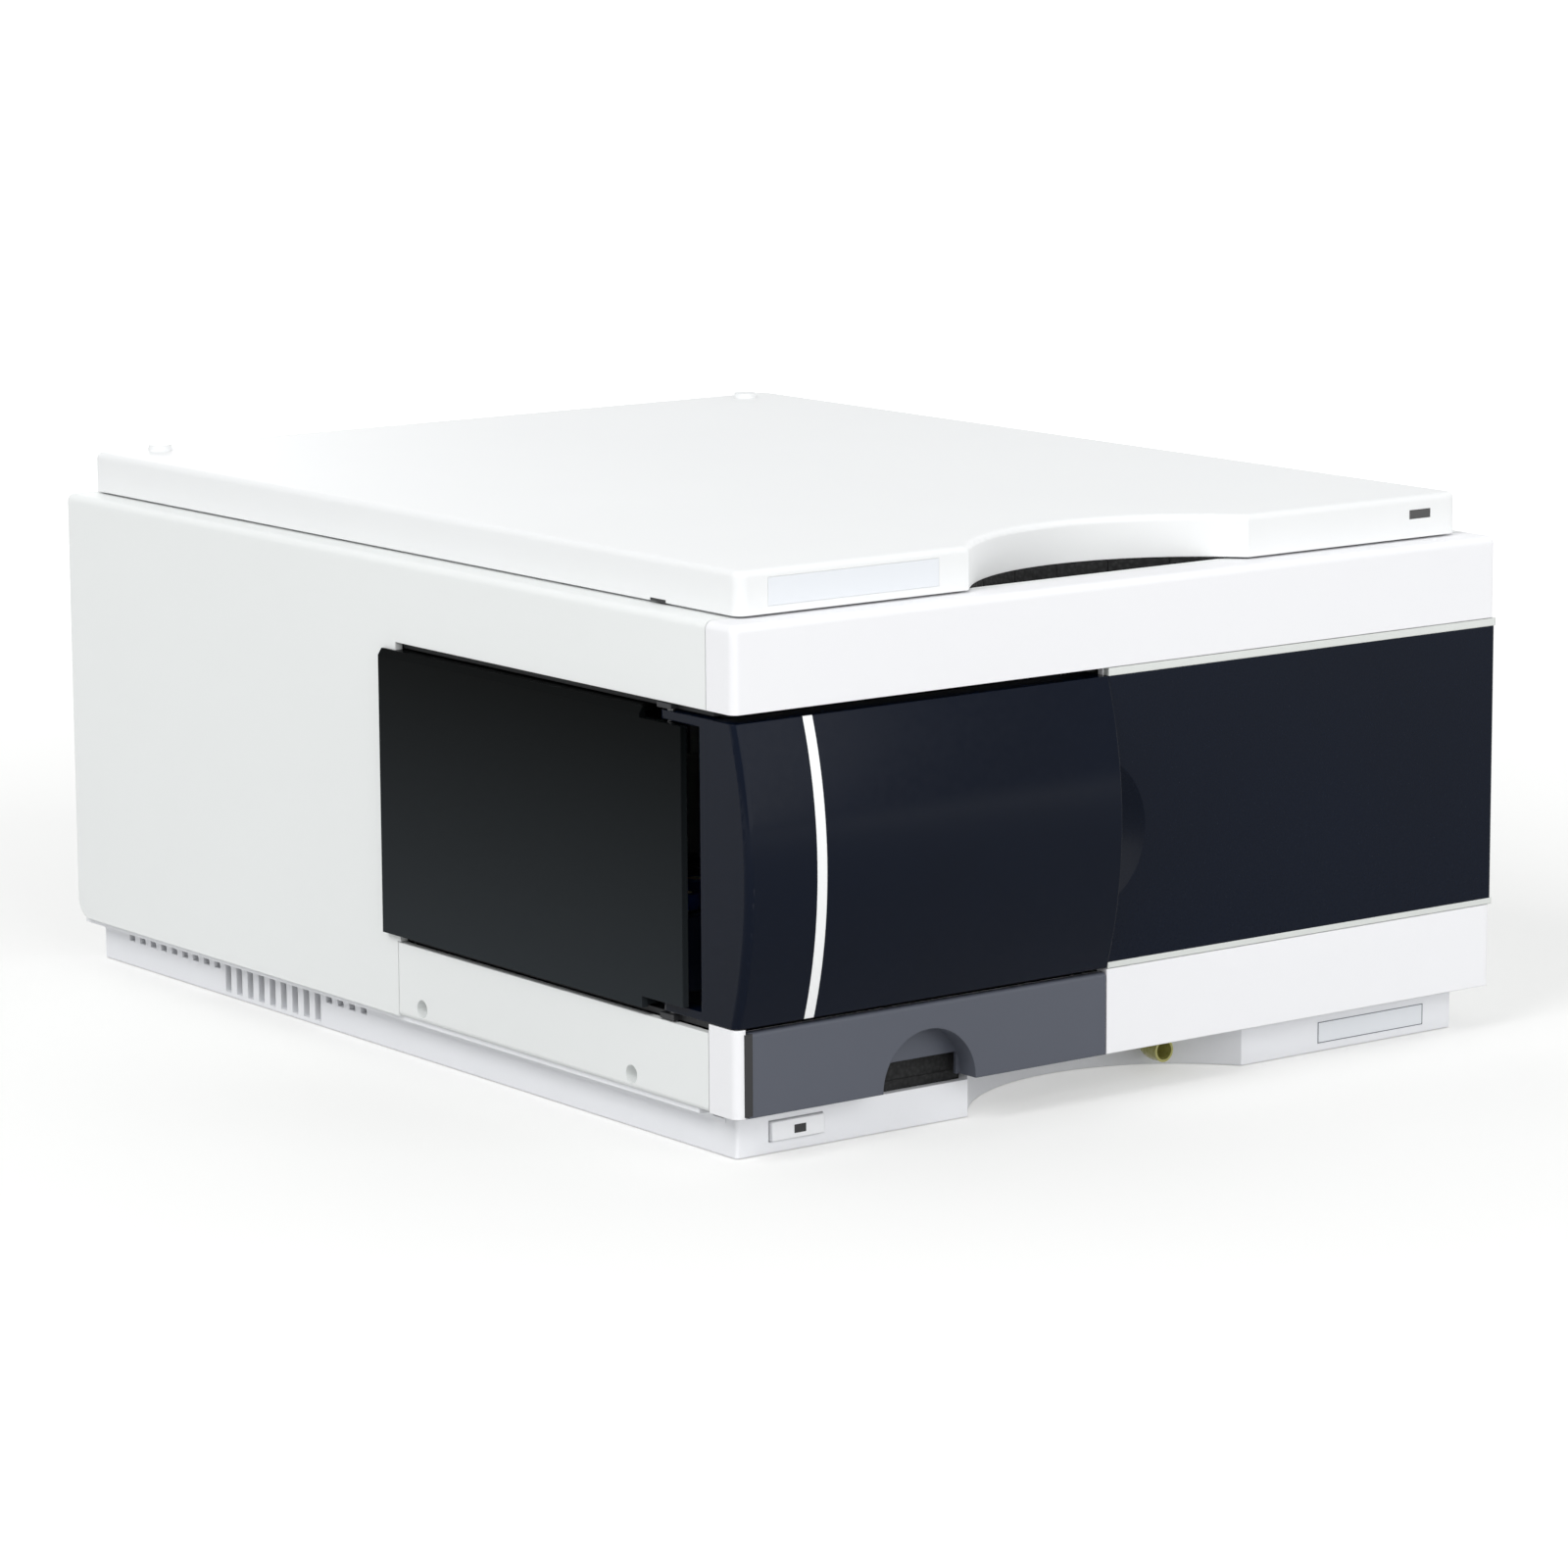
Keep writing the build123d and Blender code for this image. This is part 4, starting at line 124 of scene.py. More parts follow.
def moulded(
    name,
    color,
    rough=0.5,
    grain=1400.0,
    depth=0.00004,
    strength=0.25,
    vary=0.03,
    edge=0.0005,
    specular=0.5,
    metallic=0.0,
    cloud=9.0,
    coat=0.0,
):
    """Moulded or coated surface with fine grain, faint clouding, uneven gloss and soft edges.

    The depth of the grain and the radius of the edges are in metres.
    """
    mat, tree, bsdf = shader(name)
    clouds = noise(tree, cloud, 4.0, 0.55)
    tree.links.new(
        ramp(tree, clouds, tint(color, 1 - vary), tint(color, 1 + vary)),
        bsdf.inputs["Base Color"],
    )
    fine = noise(tree, grain, 2.0, 0.6)
    gloss = spread(tree, fine, rough - 0.06, rough + 0.06)
    tree.links.new(gloss, bsdf.inputs["Roughness"])
    bump = add(tree, "ShaderNodeBump")
    bump.inputs["Strength"].default_value = strength
    bump.inputs["Distance"].default_value = depth
    tree.links.new(fine, bump.inputs["Height"])
    if edge:
        tree.links.new(soft_edge(tree, edge), bump.inputs["Normal"])
    tree.links.new(bump.outputs["Normal"], bsdf.inputs["Normal"])
    bsdf.inputs["Metallic"].default_value = metallic
    bsdf.inputs["Specular IOR Level"].default_value = specular
    if coat:
        bsdf.inputs["Coat Weight"].default_value = coat
        bsdf.inputs["Coat Roughness"].default_value = 0.05
    return mat


def foam_material():
    """Moulded bead foam: closed cells with dark joints."""
    mat, tree, bsdf = shader("bead_foam")
    coords = add(tree, "ShaderNodeTexCoord")
    cells = add(tree, "ShaderNodeTexVoronoi")
    cells.inputs["Scale"].default_value = 620.0
    tree.links.new(coords.outputs["Object"], cells.inputs["Vector"])
    tree.links.new(
        ramp(tree, cells.outputs["Distance"], linear(18, 19, 20), linear(7, 8, 9), 0.1, 0.8),
        bsdf.inputs["Base Color"],
    )
    bump = add(tree, "ShaderNodeBump", invert=True)
    bump.inputs["Strength"].default_value = 0.7
    bump.inputs["Distance"].default_value = 0.0004
    tree.links.new(cells.outputs["Distance"], bump.inputs["Height"])
    tree.links.new(bump.outputs["Normal"], bsdf.inputs["Normal"])
    tree.links.new(spread(tree, cells.outputs["Distance"], 0.72, 0.92), bsdf.inputs["Roughness"])
    return mat


def side_window_material():
    """Smoked side window with a painted reflection: lighter toward its lower edge, darker toward
    its upper edge.
    """
    mat, tree, bsdf = shader("side_window_painted_reflection")
    coords = add(tree, "ShaderNodeTexCoord")
    split = add(tree, "ShaderNodeSeparateXYZ")
    tree.links.new(coords.outputs["Generated"], split.inputs[0])
    # Painted reflection: colour runs from the lower edge's lighter tone to the upper edge's darker
    # tone
    smoke = ramp(tree, split.outputs["Z"], SIDE_PAINTED_REFLECTION_LOW, SIDE_PAINTED_REFLECTION_HIGH, 0.0, 1.0)
    tree.links.new(smoke, bsdf.inputs["Base Color"])
    tree.links.new(spread(tree, noise(tree, 300.0, 2.0), 0.1, 0.2), bsdf.inputs["Roughness"])
    tree.links.new(soft_edge(tree, 0.0005), bsdf.inputs["Normal"])
    bsdf.inputs["Specular IOR Level"].default_value = 0.015
    return mat


def glass_material():
    """Clear borosilicate glass with faint waviness."""
    mat, tree, bsdf = shader("vial_glass")
    bsdf.inputs["Transmission Weight"].default_value = 0.92
    bsdf.inputs["IOR"].default_value = 1.47
    wave = noise(tree, 160.0, 2.0)
    tree.links.new(spread(tree, wave, 0.02, 0.09), bsdf.inputs["Roughness"])
    tree.links.new(
        ramp(tree, wave, (0.9, 0.95, 0.95), (0.97, 0.99, 0.99)),
        bsdf.inputs["Base Color"],
    )
    return mat


def liquid_material():
    """Straw-coloured liquid in the vials."""
    mat, tree, bsdf = shader("sample_liquid")
    bsdf.inputs["Transmission Weight"].default_value = 0.85
    bsdf.inputs["IOR"].default_value = 1.33
    cloudy = noise(tree, 40.0)
    tree.links.new(
        ramp(tree, cloudy, linear(226, 214, 170), linear(238, 228, 190)),
        bsdf.inputs["Base Color"],
    )
    tree.links.new(spread(tree, cloudy, 0.03, 0.08), bsdf.inputs["Roughness"])
    return mat


def board_material():
    """Green solder mask with fine tracks."""
    mat, tree, bsdf = shader("solder_mask")
    coords = add(tree, "ShaderNodeTexCoord")
    tracks = add(tree, "ShaderNodeTexBrick")
    tracks.inputs["Scale"].default_value = 95.0
    tracks.inputs["Mortar Size"].default_value = 0.04
    tracks.inputs["Color1"].default_value = (*linear(18, 84, 48), 1)
    tracks.inputs["Color2"].default_value = (*linear(24, 96, 56), 1)
    tracks.inputs["Mortar"].default_value = (*linear(58, 138, 84), 1)
    mapping = add(tree, "ShaderNodeMapping")
    mapping.inputs["Rotation"].default_value = (0, math.radians(90), 0)
    tree.links.new(coords.outputs["Object"], mapping.inputs["Vector"])
    tree.links.new(mapping.outputs["Vector"], tracks.inputs["Vector"])
    tree.links.new(tracks.outputs["Color"], bsdf.inputs["Base Color"])
    tree.links.new(spread(tree, noise(tree, 900.0), 0.25, 0.4), bsdf.inputs["Roughness"])
    return mat


WHITE = linear(245, 245, 247)
SIDE = linear(240, 242, 241)
BASE_WHITE = linear(243, 244, 247)
GREY = linear(76, 80, 91)
NAVY = (0.0012, 0.0038, 0.0118)
# Side window's colour at its lower and its upper edge: a painted reflection between them
SIDE_PAINTED_REFLECTION_LOW = linear(44, 48, 51)
SIDE_PAINTED_REFLECTION_HIGH = linear(7, 9, 9)

looks = {
    "base": moulded("base_plastic", BASE_WHITE, 0.55, 1500, vary=0.015, specular=0.3),
    "feet": moulded("foot_rubber", linear(30, 30, 31), 0.85, 1800, strength=0.5, vary=0.08),
    "foam": foam_material(),
    "button": moulded("button_plastic", linear(244, 245, 247), 0.45, 1600, vary=0.02),
    "tubing": moulded(
        "drain_tubing", linear(176, 172, 98), 0.28, 700, vary=0.08, edge=0, coat=0.3
    ),
    "cover": moulded("cover_plastic", SIDE, 0.5, 1500, vary=0.012, cloud=4.0, specular=0.25),
    "front_white": moulded(
        "front_plastic", WHITE, 0.42, 1600, vary=0.01, cloud=4.0, specular=0.3
    ),
    "grey_panel": moulded("grey_plastic", GREY, 0.55, 1300, strength=0.35, vary=0.03),
    "dark_panel": moulded(
        "dark_panel_gloss", NAVY, 0.28, 500, depth=0.00001, strength=0.1, vary=0.1, specular=0.1
    ),
    "strips": moulded("strip_silver", linear(214, 217, 214), 0.34, 1500, vary=0.02, metallic=0.25),
    "lid": moulded(
        "lid_plastic", linear(242, 243, 243), 0.45, 1500, vary=0.012, cloud=4.0, specular=0.15
    ),
    "plate": moulded(
        "plate_plastic", linear(233, 236, 240), 0.35, 1800, vary=0.015, specular=0.3
    ),
    "lens": moulded("lens_plastic", linear(26, 27, 29), 0.12, 900, vary=0.1, coat=0.5),
    "tray": moulded("tray_plastic", linear(34, 35, 38), 0.6, 1200, vary=0.06),
    "sheet": moulded(
        "zinc_sheet", linear(176, 178, 180), 0.38, 60, depth=0.00002, strength=0.15,
        vary=0.05, metallic=0.85, cloud=55.0,
    ),
    "leak_parts": moulded("leak_plastic", linear(200, 203, 200), 0.5, 1300, vary=0.03),
    "smoked": moulded(
        "smoked_plastic", NAVY, 0.12, 300, depth=0.00001, strength=0.06, vary=0.12, specular=0.1
    ),
    "stripe": moulded("stripe_white", linear(249, 250, 250), 0.35, 1500, vary=0.006),
    "pins": moulded(
        "ground_pin", linear(190, 190, 192), 0.22, 500, vary=0.05, metallic=1.0, edge=0
    ),
    "rack": moulded("rack_plastic", linear(38, 52, 84), 0.5, 1300, vary=0.05),
    "vial_glass": glass_material(),
    "caps": moulded("cap_plastic", linear(34, 72, 150), 0.35, 1200, vary=0.05),
    "anodised": moulded(
        "anodised_aluminium", linear(150, 153, 157), 0.36, 900, depth=0.00002, strength=0.2,
        vary=0.04, metallic=0.9,
    ),
    "steel": moulded(
        "polished_steel", linear(196, 197, 199), 0.2, 260, depth=0.00001, strength=0.15,
        vary=0.05, metallic=1.0, edge=0.0002,
    ),
    "motor": moulded("motor_black", linear(36, 36, 38), 0.45, 1100, vary=0.07, edge=0.0004),
    "pulley": moulded(
        "turned_aluminium", linear(190, 192, 194), 0.3, 700, depth=0.00002, vary=0.05,
        metallic=1.0, edge=0.0002,
    ),
    "belt": moulded(
        "belt_rubber", linear(30, 30, 31), 0.75, 1500, strength=0.4, vary=0.08, edge=0
    ),
    "dark_plastic": moulded("black_plastic", linear(38, 38, 40), 0.5, 1300, vary=0.06),
    "seat": moulded("peek_plastic", linear(196, 180, 142), 0.45, 1200, vary=0.05),
    "board": board_material(),
}


def dress(node, mat):
    """Gives a node one material in place of what it had."""
    node.data.materials.clear()
    node.data.materials.append(mat)


for entry in frame["record"]["subparts"]:
    dress(nodes[entry["node"]], looks[entry["material_slot"]])
dress(nodes["side_door"], side_window_material())


# Meshes
def finish_piece(bm, name, mat, body="housing", bevel=0.0, smooth=True):
    """Turns a bmesh into a named piece that rides on a body."""
    mesh = bpy.data.meshes.new(name)
    bmesh.ops.recalc_face_normals(bm, faces=bm.faces)
    bm.to_mesh(mesh)
    bm.free()
    piece = bpy.data.objects.new(name, mesh)
    scene.collection.objects.link(piece)
    mesh.materials.append(mat)
    if smooth:
        mesh.shade_smooth()
        mesh.set_sharp_from_angle(angle=math.radians(35))
    if bevel:
        mod = piece.modifiers.new("edges", "BEVEL")
        mod.width = bevel
        mod.segments = 2
        mod.limit_method = "ANGLE"
    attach(piece, body)
    return piece


def brick(bm, low, high):
    """Box from its two corners, in millimetres."""
    size = [(b - a) / 1000 for a, b in zip(low, high)]
    place = [(a + b) / 2000 for a, b in zip(low, high)]
    matrix = Matrix.Translation(place) @ Matrix.Diagonal((*size, 1))
    bmesh.ops.create_cube(bm, size=1, matrix=matrix)


AXES = {
    "x": Matrix.Rotation(math.radians(90), 4, "Y"),
    "y": Matrix.Rotation(math.radians(-90), 4, "X"),
    "-y": Matrix.Rotation(math.radians(90), 4, "X"),
    "z": Matrix.Identity(4),
}


def ring(bm, base, level, radius, steps, six_sided=False):
    """Ring of vertices round an axis, on a circle or on the hexagon inside it."""
    verts = []
    for index in range(steps):
        angle = 2 * math.pi * index / steps
        size = radius
        if six_sided:
            local = (angle % (math.pi / 3)) - math.pi / 6
            size = radius * math.cos(math.pi / 6) / math.cos(local)
        point = Vector((size * math.cos(angle), size * math.sin(angle), level)) / 1000
        verts.append(bm.verts.new(base @ point))
    return verts


def close_rings(bm, rings):
    """Faces between the rings that follow each other, and over both ends."""
    for first, second in zip(rings, rings[1:]):
        for index in range(len(first)):
            after = (index + 1) % len(first)
            bm.faces.new((first[index], first[after], second[after], second[index]))
    bm.faces.new(list(reversed(rings[0])))
    bm.faces.new(rings[-1])


def axis_at(place, axis):
    """Matrix that sets an axis at a place in millimetres."""
    return Matrix.Translation([v / 1000 for v in place]) @ AXES[axis]


def turned(bm, place, axis, profile, steps=28):
    """Turned body: (height, radius) pairs in millimetres along the axis from the place."""
    base = axis_at(place, axis)
    close_rings(bm, [ring(bm, base, level, radius, steps) for level, radius in profile])


SCREW_STEPS = 24
SCREW_RECESS = 0.45


def socket_screw(bm, place, axis, radius, height):
    """Screw head with a rounded rim and a six-sided recess."""
    base = axis_at(place, axis)
    rim = [(0, radius), (height * 0.7, radius), (height, radius * 0.82)]
    rings = [ring(bm, base, level, size, SCREW_STEPS) for level, size in rim]
    for level in (height, height * 0.35):
        rings.append(ring(bm, base, level, radius * SCREW_RECESS, SCREW_STEPS, six_sided=True))
    close_rings(bm, rings)


# Details of the front
# Black for print on the button, and for painted shade in the corner gap and the lid's notch
black_print_and_shade = moulded("black_print_and_painted_shade", linear(28, 28, 30), 0.4, 1500, vary=0.08, edge=0)
line_grey = moulded("print_grey", linear(120, 124, 130), 0.5, 1500, vary=0.05, edge=0)
label_white = moulded("label_film", linear(233, 236, 240), 0.4, 1500, vary=0.01, edge=0)

HOUSING_FRONT = -217.5
BASE_FRONT = -206.0
LABEL_X = (98.0, 149.5)
LABEL_Z = (3.3, 11.1)
LINE_WIDTH = 0.3
bm = bmesh.new()
brick(bm, (LABEL_X[0], BASE_FRONT - 0.15, LABEL_Z[0]), (LABEL_X[1], BASE_FRONT + 0.1, LABEL_Z[1]))
finish_piece(bm, "blank_label", label_white)
bm = bmesh.new()
for low, high in (
    ((LABEL_X[0], LABEL_Z[0]), (LABEL_X[1], LABEL_Z[0] + LINE_WIDTH)),
    ((LABEL_X[0], LABEL_Z[1] - LINE_WIDTH), (LABEL_X[1], LABEL_Z[1])),
    ((LABEL_X[0], LABEL_Z[0]), (LABEL_X[0] + LINE_WIDTH, LABEL_Z[1])),
    ((LABEL_X[1] - LINE_WIDTH, LABEL_Z[0]), (LABEL_X[1], LABEL_Z[1])),
):
    brick(bm, (low[0], BASE_FRONT - 0.25, low[1]), (high[0], BASE_FRONT - 0.1, high[1]))
finish_piece(bm, "blank_label_border", line_grey)

BUTTON_FACE = -207.4
bm = bmesh.new()
brick(bm, (-140.6, BUTTON_FACE - 0.15, 6.2), (-135.6, BUTTON_FACE + 0.2, 9.2))
finish_piece(bm, "button_mark", black_print_and_shade, "power_button", 0.0002)

# Dark strip in the gap between the front cover's lower corner and the grey panel, painted shade: a
# core, and a lip that laps both edges
bm = bmesh.new()
brick(bm, (-168.28, HOUSING_FRONT + 0.3, 17.3), (-166.92, HOUSING_FRONT + 2.8, 46.0))
brick(bm, (-168.9, HOUSING_FRONT - 0.12, 17.6), (-165.5, HOUSING_FRONT + 0.4, 45.9))
finish_piece(bm, "corner_gap_painted_shade", black_print_and_shade)

# Dark block in the lid's side notch, painted shade
bm = bmesh.new()
brick(bm, (-162.4, -165.9, 184.9), (-161.2, -157.2, 185.7))
brick(bm, (-161.4, -165.2, 185.0), (-160.2, -157.9, 185.6))
finish_piece(bm, "notch_painted_shade", black_print_and_shade)

# Details of the rear: screws, contacts and inserts of the sockets
zinc_screw = moulded(
    "zinc_screw", linear(188, 188, 190), 0.28, 900, vary=0.05, metallic=1.0, edge=0
)
gold = moulded("gold_contact", linear(226, 186, 98), 0.25, 900, vary=0.05, metallic=1.0, edge=0)
REAR_FACE = 213.0
REAR_SCREWS_X = (-160, 0, 160)
REAR_SCREWS_Z = (24, 172)
CARD_FACE = 214.0
CARD_SCREWS_X = (32.6, 137.6)
CARD_SCREW_LEVEL = 73
INLET_FACE = 215.0
INLET_SCREWS_X = (-50, -10)
INLET_LEVEL = 42
SOCKET_LEVEL = 75.0
SOCKET_FLOOR = 216.5
SOCKET_POSTS = (74.9, 109.2)
# Jacks by their centre; wide sockets by centre, pins in the lower row and half width
JACKS = (44.0, 64.5)
JACK_PINS = 8
JACK_PITCH = 1.1
WIDE_SOCKETS = ((92.0, 8, 13.0), (123.5, 5, 10.0))
WIDE_PITCH = 2.75
bm = bmesh.new()
for x in REAR_SCREWS_X:
    for z in REAR_SCREWS_Z:
        socket_screw(bm, (x, REAR_FACE, z), "y", 3.2, 2.0)
for x in CARD_SCREWS_X:
    socket_screw(bm, (x, CARD_FACE, CARD_SCREW_LEVEL), "y", 2.2, 2.4)
for x in SOCKET_POSTS:
    turned(bm, (x, CARD_FACE, SOCKET_LEVEL), "y", [(0, 1.0), (4.5, 1.0)], 6)
for x in INLET_SCREWS_X:
    socket_screw(bm, (x, INLET_FACE, INLET_LEVEL), "y", 2.6, 1.4)
finish_piece(bm, "rear_screws", zinc_screw)

bm = bmesh.new()
for centre, count, _ in WIDE_SOCKETS:
    for row, extra in ((-1.4, 0), (1.4, -1)):
        total_pins = count + extra
        for index in range(total_pins):
            x = centre + (index - (total_pins - 1) / 2) * WIDE_PITCH
            place = (x, SOCKET_FLOOR, SOCKET_LEVEL + row)
            turned(bm, place, "y", [(0, 0.5), (2.6, 0.5), (3.0, 0.25)], 10)
for centre in JACKS:
    for index in range(JACK_PINS):
        x = centre + (index - (JACK_PINS - 1) / 2) * JACK_PITCH
        brick(bm, (x - 0.25, SOCKET_FLOOR, 76.2), (x + 0.25, SOCKET_FLOOR + 2.6, 78.6))
finish_piece(bm, "socket_contacts", gold, smooth=False)

bm = bmesh.new()
for centre in JACKS:
    brick(bm, (centre - 6.2, SOCKET_FLOOR, 70.7), (centre + 6.2, SOCKET_FLOOR + 0.4, 79.3))
for centre, _, half in WIDE_SOCKETS:
    brick(bm, (centre - half, SOCKET_FLOOR, 71.0), (centre + half, SOCKET_FLOOR + 0.8, 79.0))
finish_piece(bm, "socket_inserts", looks["dark_plastic"], smooth=False)

# Inside: belt and vials
BELT_RADIUS = 7.6
BELT_TEETH = 220
BELT_EDGES_Y = (-26.5, -20.5)


def toothed_belt():
    """Closed belt round both pulleys with its teeth inside."""
    left, right, level = -150.0, 50.0, 128.0
    inner, root, outer = 7.05, 7.5, 8.2
    run = right - left
    arc = math.pi * BELT_RADIUS
    length = 2 * run + 2 * arc
    bm = bmesh.new()

    def at(along, radius):
        """X and Z of a point at a distance along the belt and a radius off the pulleys' axes."""
        along %= length
        if along < run:
            return left + along, level + radius
        along -= run
        if along < arc:
            angle = math.pi / 2 - along / BELT_RADIUS
            return right + radius * math.cos(angle), level + radius * math.sin(angle)
        along -= arc
        if along < run:
            return right - along, level - radius
        angle = -math.pi / 2 - (along - run) / BELT_RADIUS
        return left + radius * math.cos(angle), level + radius * math.sin(angle)

    loops = []
    for tooth in range(BELT_TEETH):
        for part, radius in ((0.0, root), (0.22, inner), (0.5, inner), (0.72, root)):
            along = (tooth + part) * length / BELT_TEETH
            verts = []
            for y in BELT_EDGES_Y:
                for size in (radius, outer):
                    x, z = at(along, size)
                    verts.append(bm.verts.new((x / 1000, y / 1000, z / 1000)))
            loops.append((verts[0], verts[1], verts[3], verts[2]))
    for index, first in enumerate(loops):
        second = loops[(index + 1) % len(loops)]
        for corner in range(4):
            after = (corner + 1) % 4
            bm.faces.new((first[corner], first[after], second[after], second[corner]))
    return bm


belt = finish_piece(toothed_belt(), "toothed_belt", looks["belt"], smooth=False)
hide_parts("x_belt")

VIAL_PITCH = 18.0
RACK_CENTRE = (-104.0, -108.0)
VIAL_FLOOR = 48.9
VIAL_PLACES = [
    (RACK_CENTRE[0] + (column - 2) * VIAL_PITCH, RACK_CENTRE[1] + (row - 2) * VIAL_PITCH)
    for column in range(2)
    for row in range(5)
]
VIAL_WALL = [
    (0.0, 4.9), (0.5, 5.6), (1.0, 5.8), (21.5, 5.8), (23.6, 5.2), (24.8, 4.0), (29.0, 4.0)
]
VIAL_HOLLOW = [(28.99, 2.9), (24.8, 2.9), (23.2, 4.2), (21.5, 4.9), (2.2, 4.9), (1.4, 4.0)]
bm = bmesh.new()
for x, y in VIAL_PLACES:
    turned(bm, (x, y, VIAL_FLOOR), "z", VIAL_WALL + VIAL_HOLLOW, 24)
glass = finish_piece(bm, "glass_vials", looks["vial_glass"])
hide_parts("vials")

LIQUID_TOP = 17.0
LIQUID_STEP = 2.5
bm = bmesh.new()
for index, (x, y) in enumerate(VIAL_PLACES):
    top = LIQUID_TOP - LIQUID_STEP * (index % 3)
    turned(bm, (x, y, VIAL_FLOOR), "z", [(1.5, 4.0), (2.3, 4.86), (top, 4.86)], 24)
finish_piece(bm, "sample_liquid", liquid_material())

CAP_TOP = 79.25
septum_mat = moulded("septum", linear(232, 226, 214), 0.7, 1600, vary=0.04, edge=0)
bm = bmesh.new()
for x, y in VIAL_PLACES:
    turned(bm, (x, y, CAP_TOP), "z", [(0, 2.8), (0.15, 2.8)], 20)
finish_piece(bm, "cap_septa", septum_mat)

# Inside: nuts on the valve's ports, on the metering head and at the needle seat
VALVE_X, VALVE_Z = 142, 105
METERING_X, METERING_Z = 115, 50
PORT_COUNT = 6
PORT_CIRCLE = 9
bm = bmesh.new()
for index in range(PORT_COUNT):
    angle = math.radians(90 + 360 / PORT_COUNT * index)
    x = VALVE_X + PORT_CIRCLE * math.cos(angle)
    z = VALVE_Z + PORT_CIRCLE * math.sin(angle)
    turned(bm, (x, -130.1, z), "-y", [(0, 2.9), (0.4, 3.2), (2.6, 3.2), (3.0, 2.9)], 6)
metering_port = (METERING_X, -147.9, METERING_Z)
turned(bm, metering_port, "-y", [(0, 3.6), (0.4, 4.0), (4.6, 4.0), (5.0, 3.6)], 6)
turned(bm, (82.1, -112, 40), "x", [(0, 2.9), (0.4, 3.2), (3.6, 3.2), (4.0, 2.9)], 6)
finish_piece(bm, "capillary_nuts", looks["steel"], smooth=False)

# Four screws each on the transport motor, the valve and the metering head:
# centre X and Z, face Y, axis, half the pitch, head radius and height
SCREW_SQUARES = (
    (50, 128, 12.0, "y", 13.5, 2.2, 1.6),
    (VALVE_X, VALVE_Z, -124.0, "-y", 11, 1.9, 1.8),
    (METERING_X, METERING_Z, -126.0, "-y", 10, 1.8, 1.6),
)
bm = bmesh.new()
for x, z, face, axis, half, radius, height in SCREW_SQUARES:
    for dx in (-half, half):
        for dz in (-half, half):
            socket_screw(bm, (x + dx, face, z + dz), axis, radius, height)
finish_piece(bm, "inner_screws", zinc_screw)

# Main board: capacitors by Y, Z, radius and height; headers by Y, Z and length
BOARD_FACE = 150.0
CAPACITORS = (
    (128, 32, 6, 12), (146, 32, 6, 12), (164, 32, 6, 12), (30, 30, 4, 8), (42, 30, 4, 8),
    (75, 130, 4, 8),
)
HEADERS = ((60, 136, 30), (110, 136, 42), (160, 136, 24), (75, 24, 36))
HEADER_DEPTH = 7.0
bm = bmesh.new()
for y, z, radius, height in CAPACITORS:
    can = [(0, radius), (-height + 0.5, radius), (-height, radius - 0.6)]
    turned(bm, (BOARD_FACE, y, z), "x", can, 20)
finish_piece(bm, "board_capacitors", looks["motor"])
bm = bmesh.new()
for y, z, length in HEADERS:
    low = (BOARD_FACE - HEADER_DEPTH, y - length / 2, z - 4)
    brick(bm, low, (BOARD_FACE, y + length / 2, z + 4))
finish_piece(bm, "board_headers", looks["seat"], bevel=0.0003)


# Floor
def seen_rays(tree):
    """1 for camera, glossy and transmission rays, which see the white background."""
    path = add(tree, "ShaderNodeLightPath")
    source = path.outputs["Is Camera Ray"]
    for kind in ("Is Glossy Ray", "Is Transmission Ray"):
        total = add(tree, "ShaderNodeMath", operation="ADD", use_clamp=True)
        tree.links.new(source, total.inputs[0])
        tree.links.new(path.outputs[kind], total.inputs[1])
        source = total.outputs[0]
    return source


def floor_material():
    """Matt floor; its glow for seen rays grows from the part outward to the background's white."""
    mat, tree, bsdf = shader("studio_floor")
    tree.nodes.remove(bsdf)
    diffuse = add(tree, "ShaderNodeBsdfDiffuse")
    tree.links.new(
        ramp(tree, noise(tree, 3.0), (0.61, 0.61, 0.605), (0.63, 0.63, 0.625)),
        diffuse.inputs["Color"],
    )
    glow = add(tree, "ShaderNodeEmission")
    glow.inputs["Color"].default_value = (1.0, 1.0, 0.985, 1)
    coords = add(tree, "ShaderNodeTexCoord")
    distance = add(tree, "ShaderNodeVectorMath", operation="LENGTH")
    tree.links.new(coords.outputs["Object"], distance.inputs[0])
    level = add(tree, "ShaderNodeMapRange", interpolation_type="SMOOTHSTEP")
    for socket, value in (("From Min", 0.2), ("From Max", 2.4), ("To Min", 0.38), ("To Max", 1.0)):
        level.inputs[socket].default_value = value
    tree.links.new(distance.outputs["Value"], level.inputs["Value"])
    strength = add(tree, "ShaderNodeMath", operation="MULTIPLY")
    tree.links.new(seen_rays(tree), strength.inputs[0])
    tree.links.new(level.outputs["Result"], strength.inputs[1])
    tree.links.new(strength.outputs[0], glow.inputs["Strength"])
    both = add(tree, "ShaderNodeAddShader")
    tree.links.new(diffuse.outputs[0], both.inputs[0])
    tree.links.new(glow.outputs[0], both.inputs[1])
    tree.links.new(both.outputs[0], tree.nodes["Material Output"].inputs["Surface"])
    return mat


FLOOR_HALF = 14.0
mesh = bpy.data.meshes.new("floor")
corners = [(x * FLOOR_HALF, y * FLOOR_HALF, 0) for x, y in ((-1, -1), (1, -1), (1, 1), (-1, 1))]
mesh.from_pydata(corners, [], [(0, 1, 2, 3)])
floor = bpy.data.objects.new("floor", mesh)
scene.collection.objects.link(floor)
mesh.materials.append(floor_material())

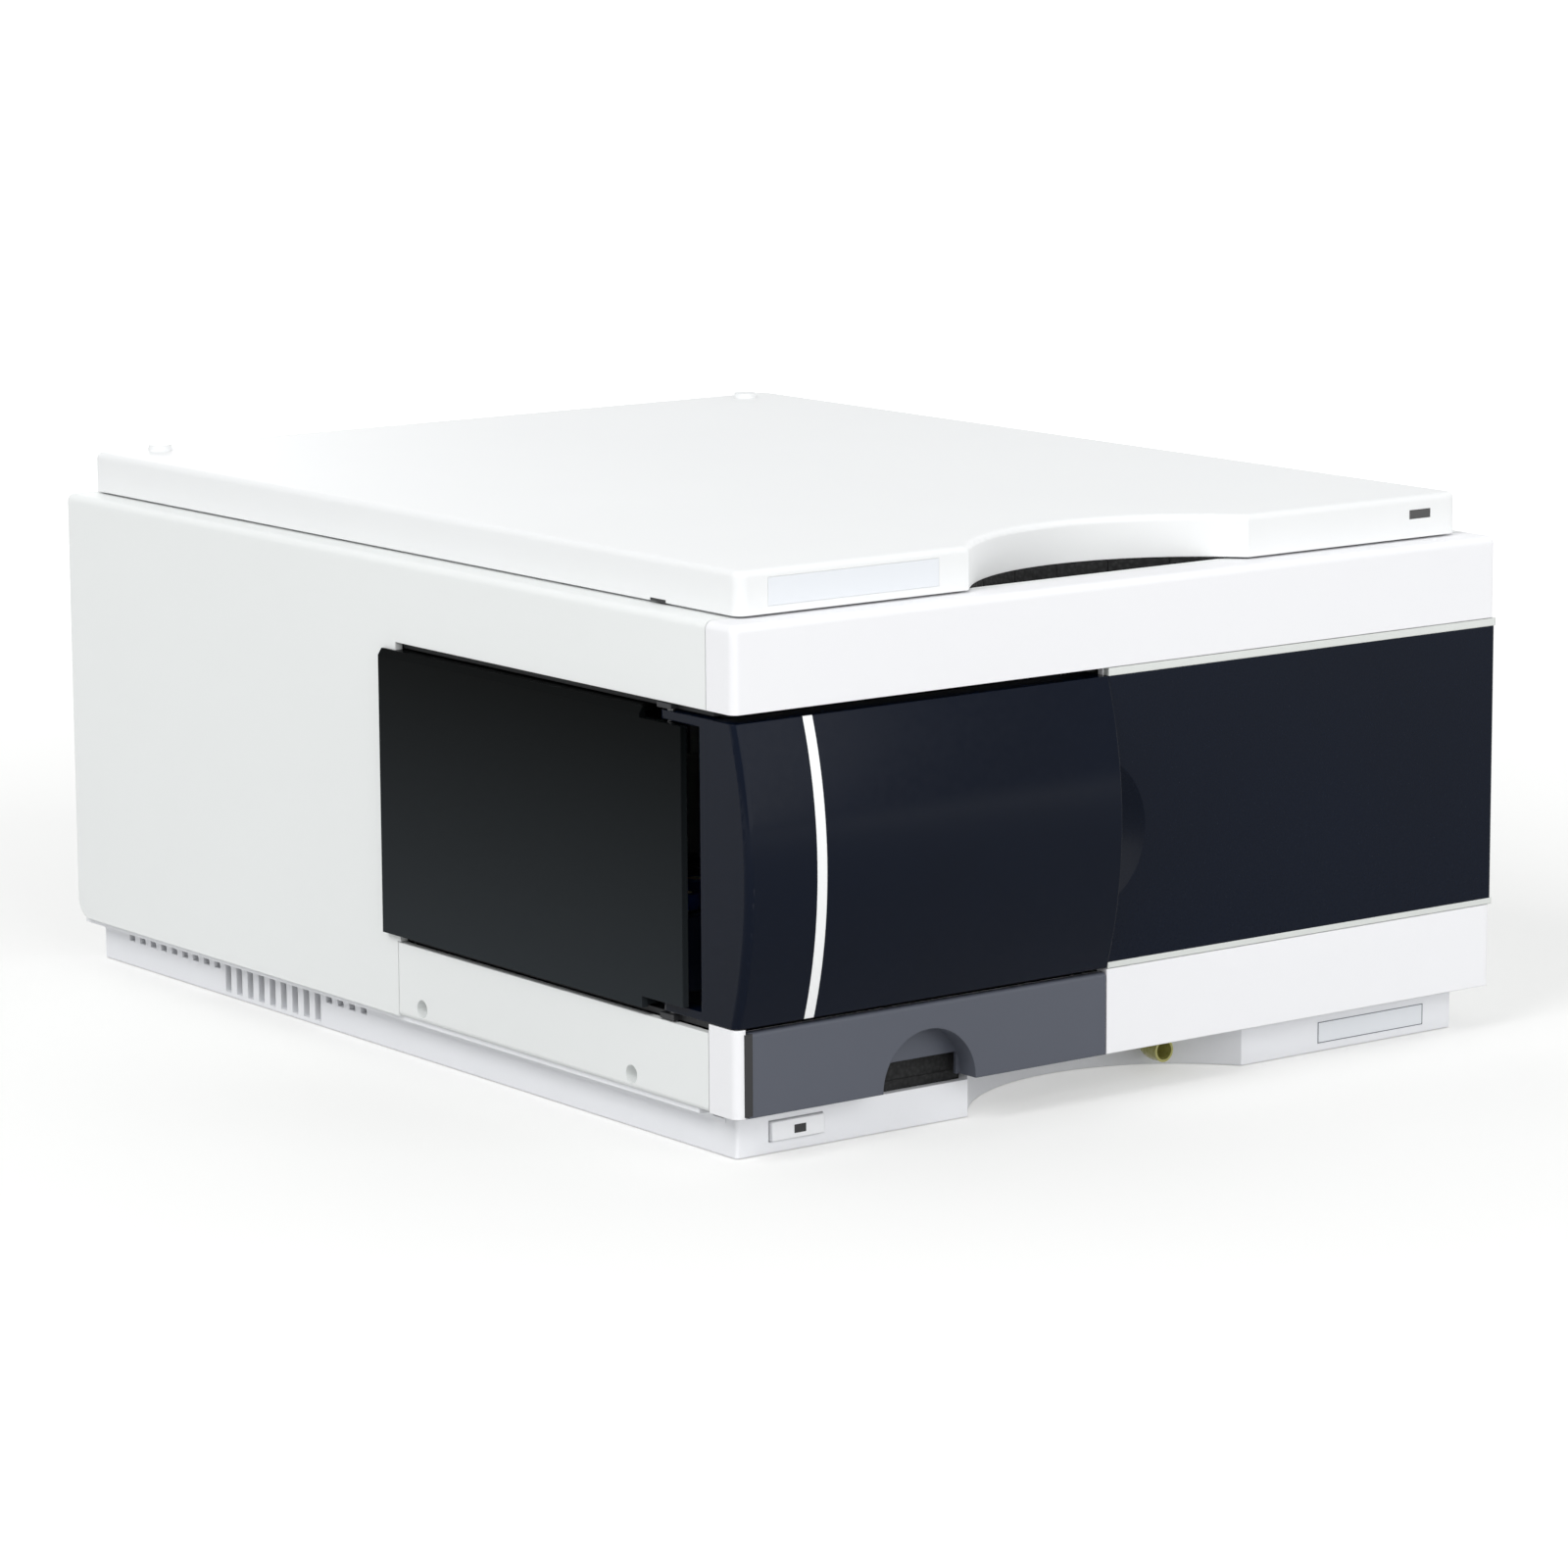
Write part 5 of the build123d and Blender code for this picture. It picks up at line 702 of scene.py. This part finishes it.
# Surroundings: soft light on the part, white where it is seen
world = bpy.data.worlds.new("studio")
scene.world = world
world.use_nodes = True
tree = world.node_tree
tree.nodes.clear()
out = add(tree, "ShaderNodeOutputWorld")
ambient = add(tree, "ShaderNodeBackground")
ambient.inputs["Color"].default_value = (0.97, 0.985, 1.0, 1)
ambient.inputs["Strength"].default_value = 0.5
seen = add(tree, "ShaderNodeBackground")
seen.inputs["Color"].default_value = (1, 1, 1, 1)
seen.inputs["Strength"].default_value = 1.0
mix = add(tree, "ShaderNodeMixShader")
tree.links.new(seen_rays(tree), mix.inputs["Fac"])
tree.links.new(ambient.outputs[0], mix.inputs[1])
tree.links.new(seen.outputs[0], mix.inputs[2])
tree.links.new(mix.outputs[0], out.inputs["Surface"])


# Lamps
def lamp(name, place, aim, size, power):
    """Rectangular white lamp at a place, turned to its aim; lengths in metres, power in watts."""
    data = bpy.data.lights.new(name, "AREA")
    data.shape = "RECTANGLE"
    data.size, data.size_y = size
    data.energy = power
    lamp_object = bpy.data.objects.new(name, data)
    scene.collection.objects.link(lamp_object)
    lamp_object.location = place
    direction = Vector(aim) - Vector(place)
    lamp_object.rotation_euler = direction.to_track_quat("-Z", "Y").to_euler()


LAMP_AIM = (0, 0, 0.1)
lamp("key", (0.3, -3.0, 1.2), (0, 0, 0.08), (3.4, 2.4), 46)
lamp("side", (-2.6, -0.7, 2.4), LAMP_AIM, (1.8, 1.6), 58)
lamp("right", (3.0, 0.8, 0.9), LAMP_AIM, (2.0, 1.2), 17)
lamp("rear", (0.8, 3.4, 1.0), LAMP_AIM, (2.0, 1.2), 19)

# Camera
camera_data = bpy.data.cameras.new("camera")
camera_data.lens = CAMERA_LENS
camera_data.sensor_width = SENSOR
camera_data.sensor_fit = "HORIZONTAL"
camera_data.clip_end = 50
camera = bpy.data.objects.new("camera", camera_data)
scene.collection.objects.link(camera)
camera.matrix_world = Matrix(
    (
        (CAMERA_RIGHT[0], CAMERA_UP[0], CAMERA_BACK[0], CAMERA_PLACE[0]),
        (CAMERA_RIGHT[1], CAMERA_UP[1], CAMERA_BACK[1], CAMERA_PLACE[1]),
        (CAMERA_RIGHT[2], CAMERA_UP[2], CAMERA_BACK[2], CAMERA_PLACE[2]),
        (0, 0, 0, 1),
    )
)
scene.camera = camera
scene.view_settings.view_transform = "Standard"
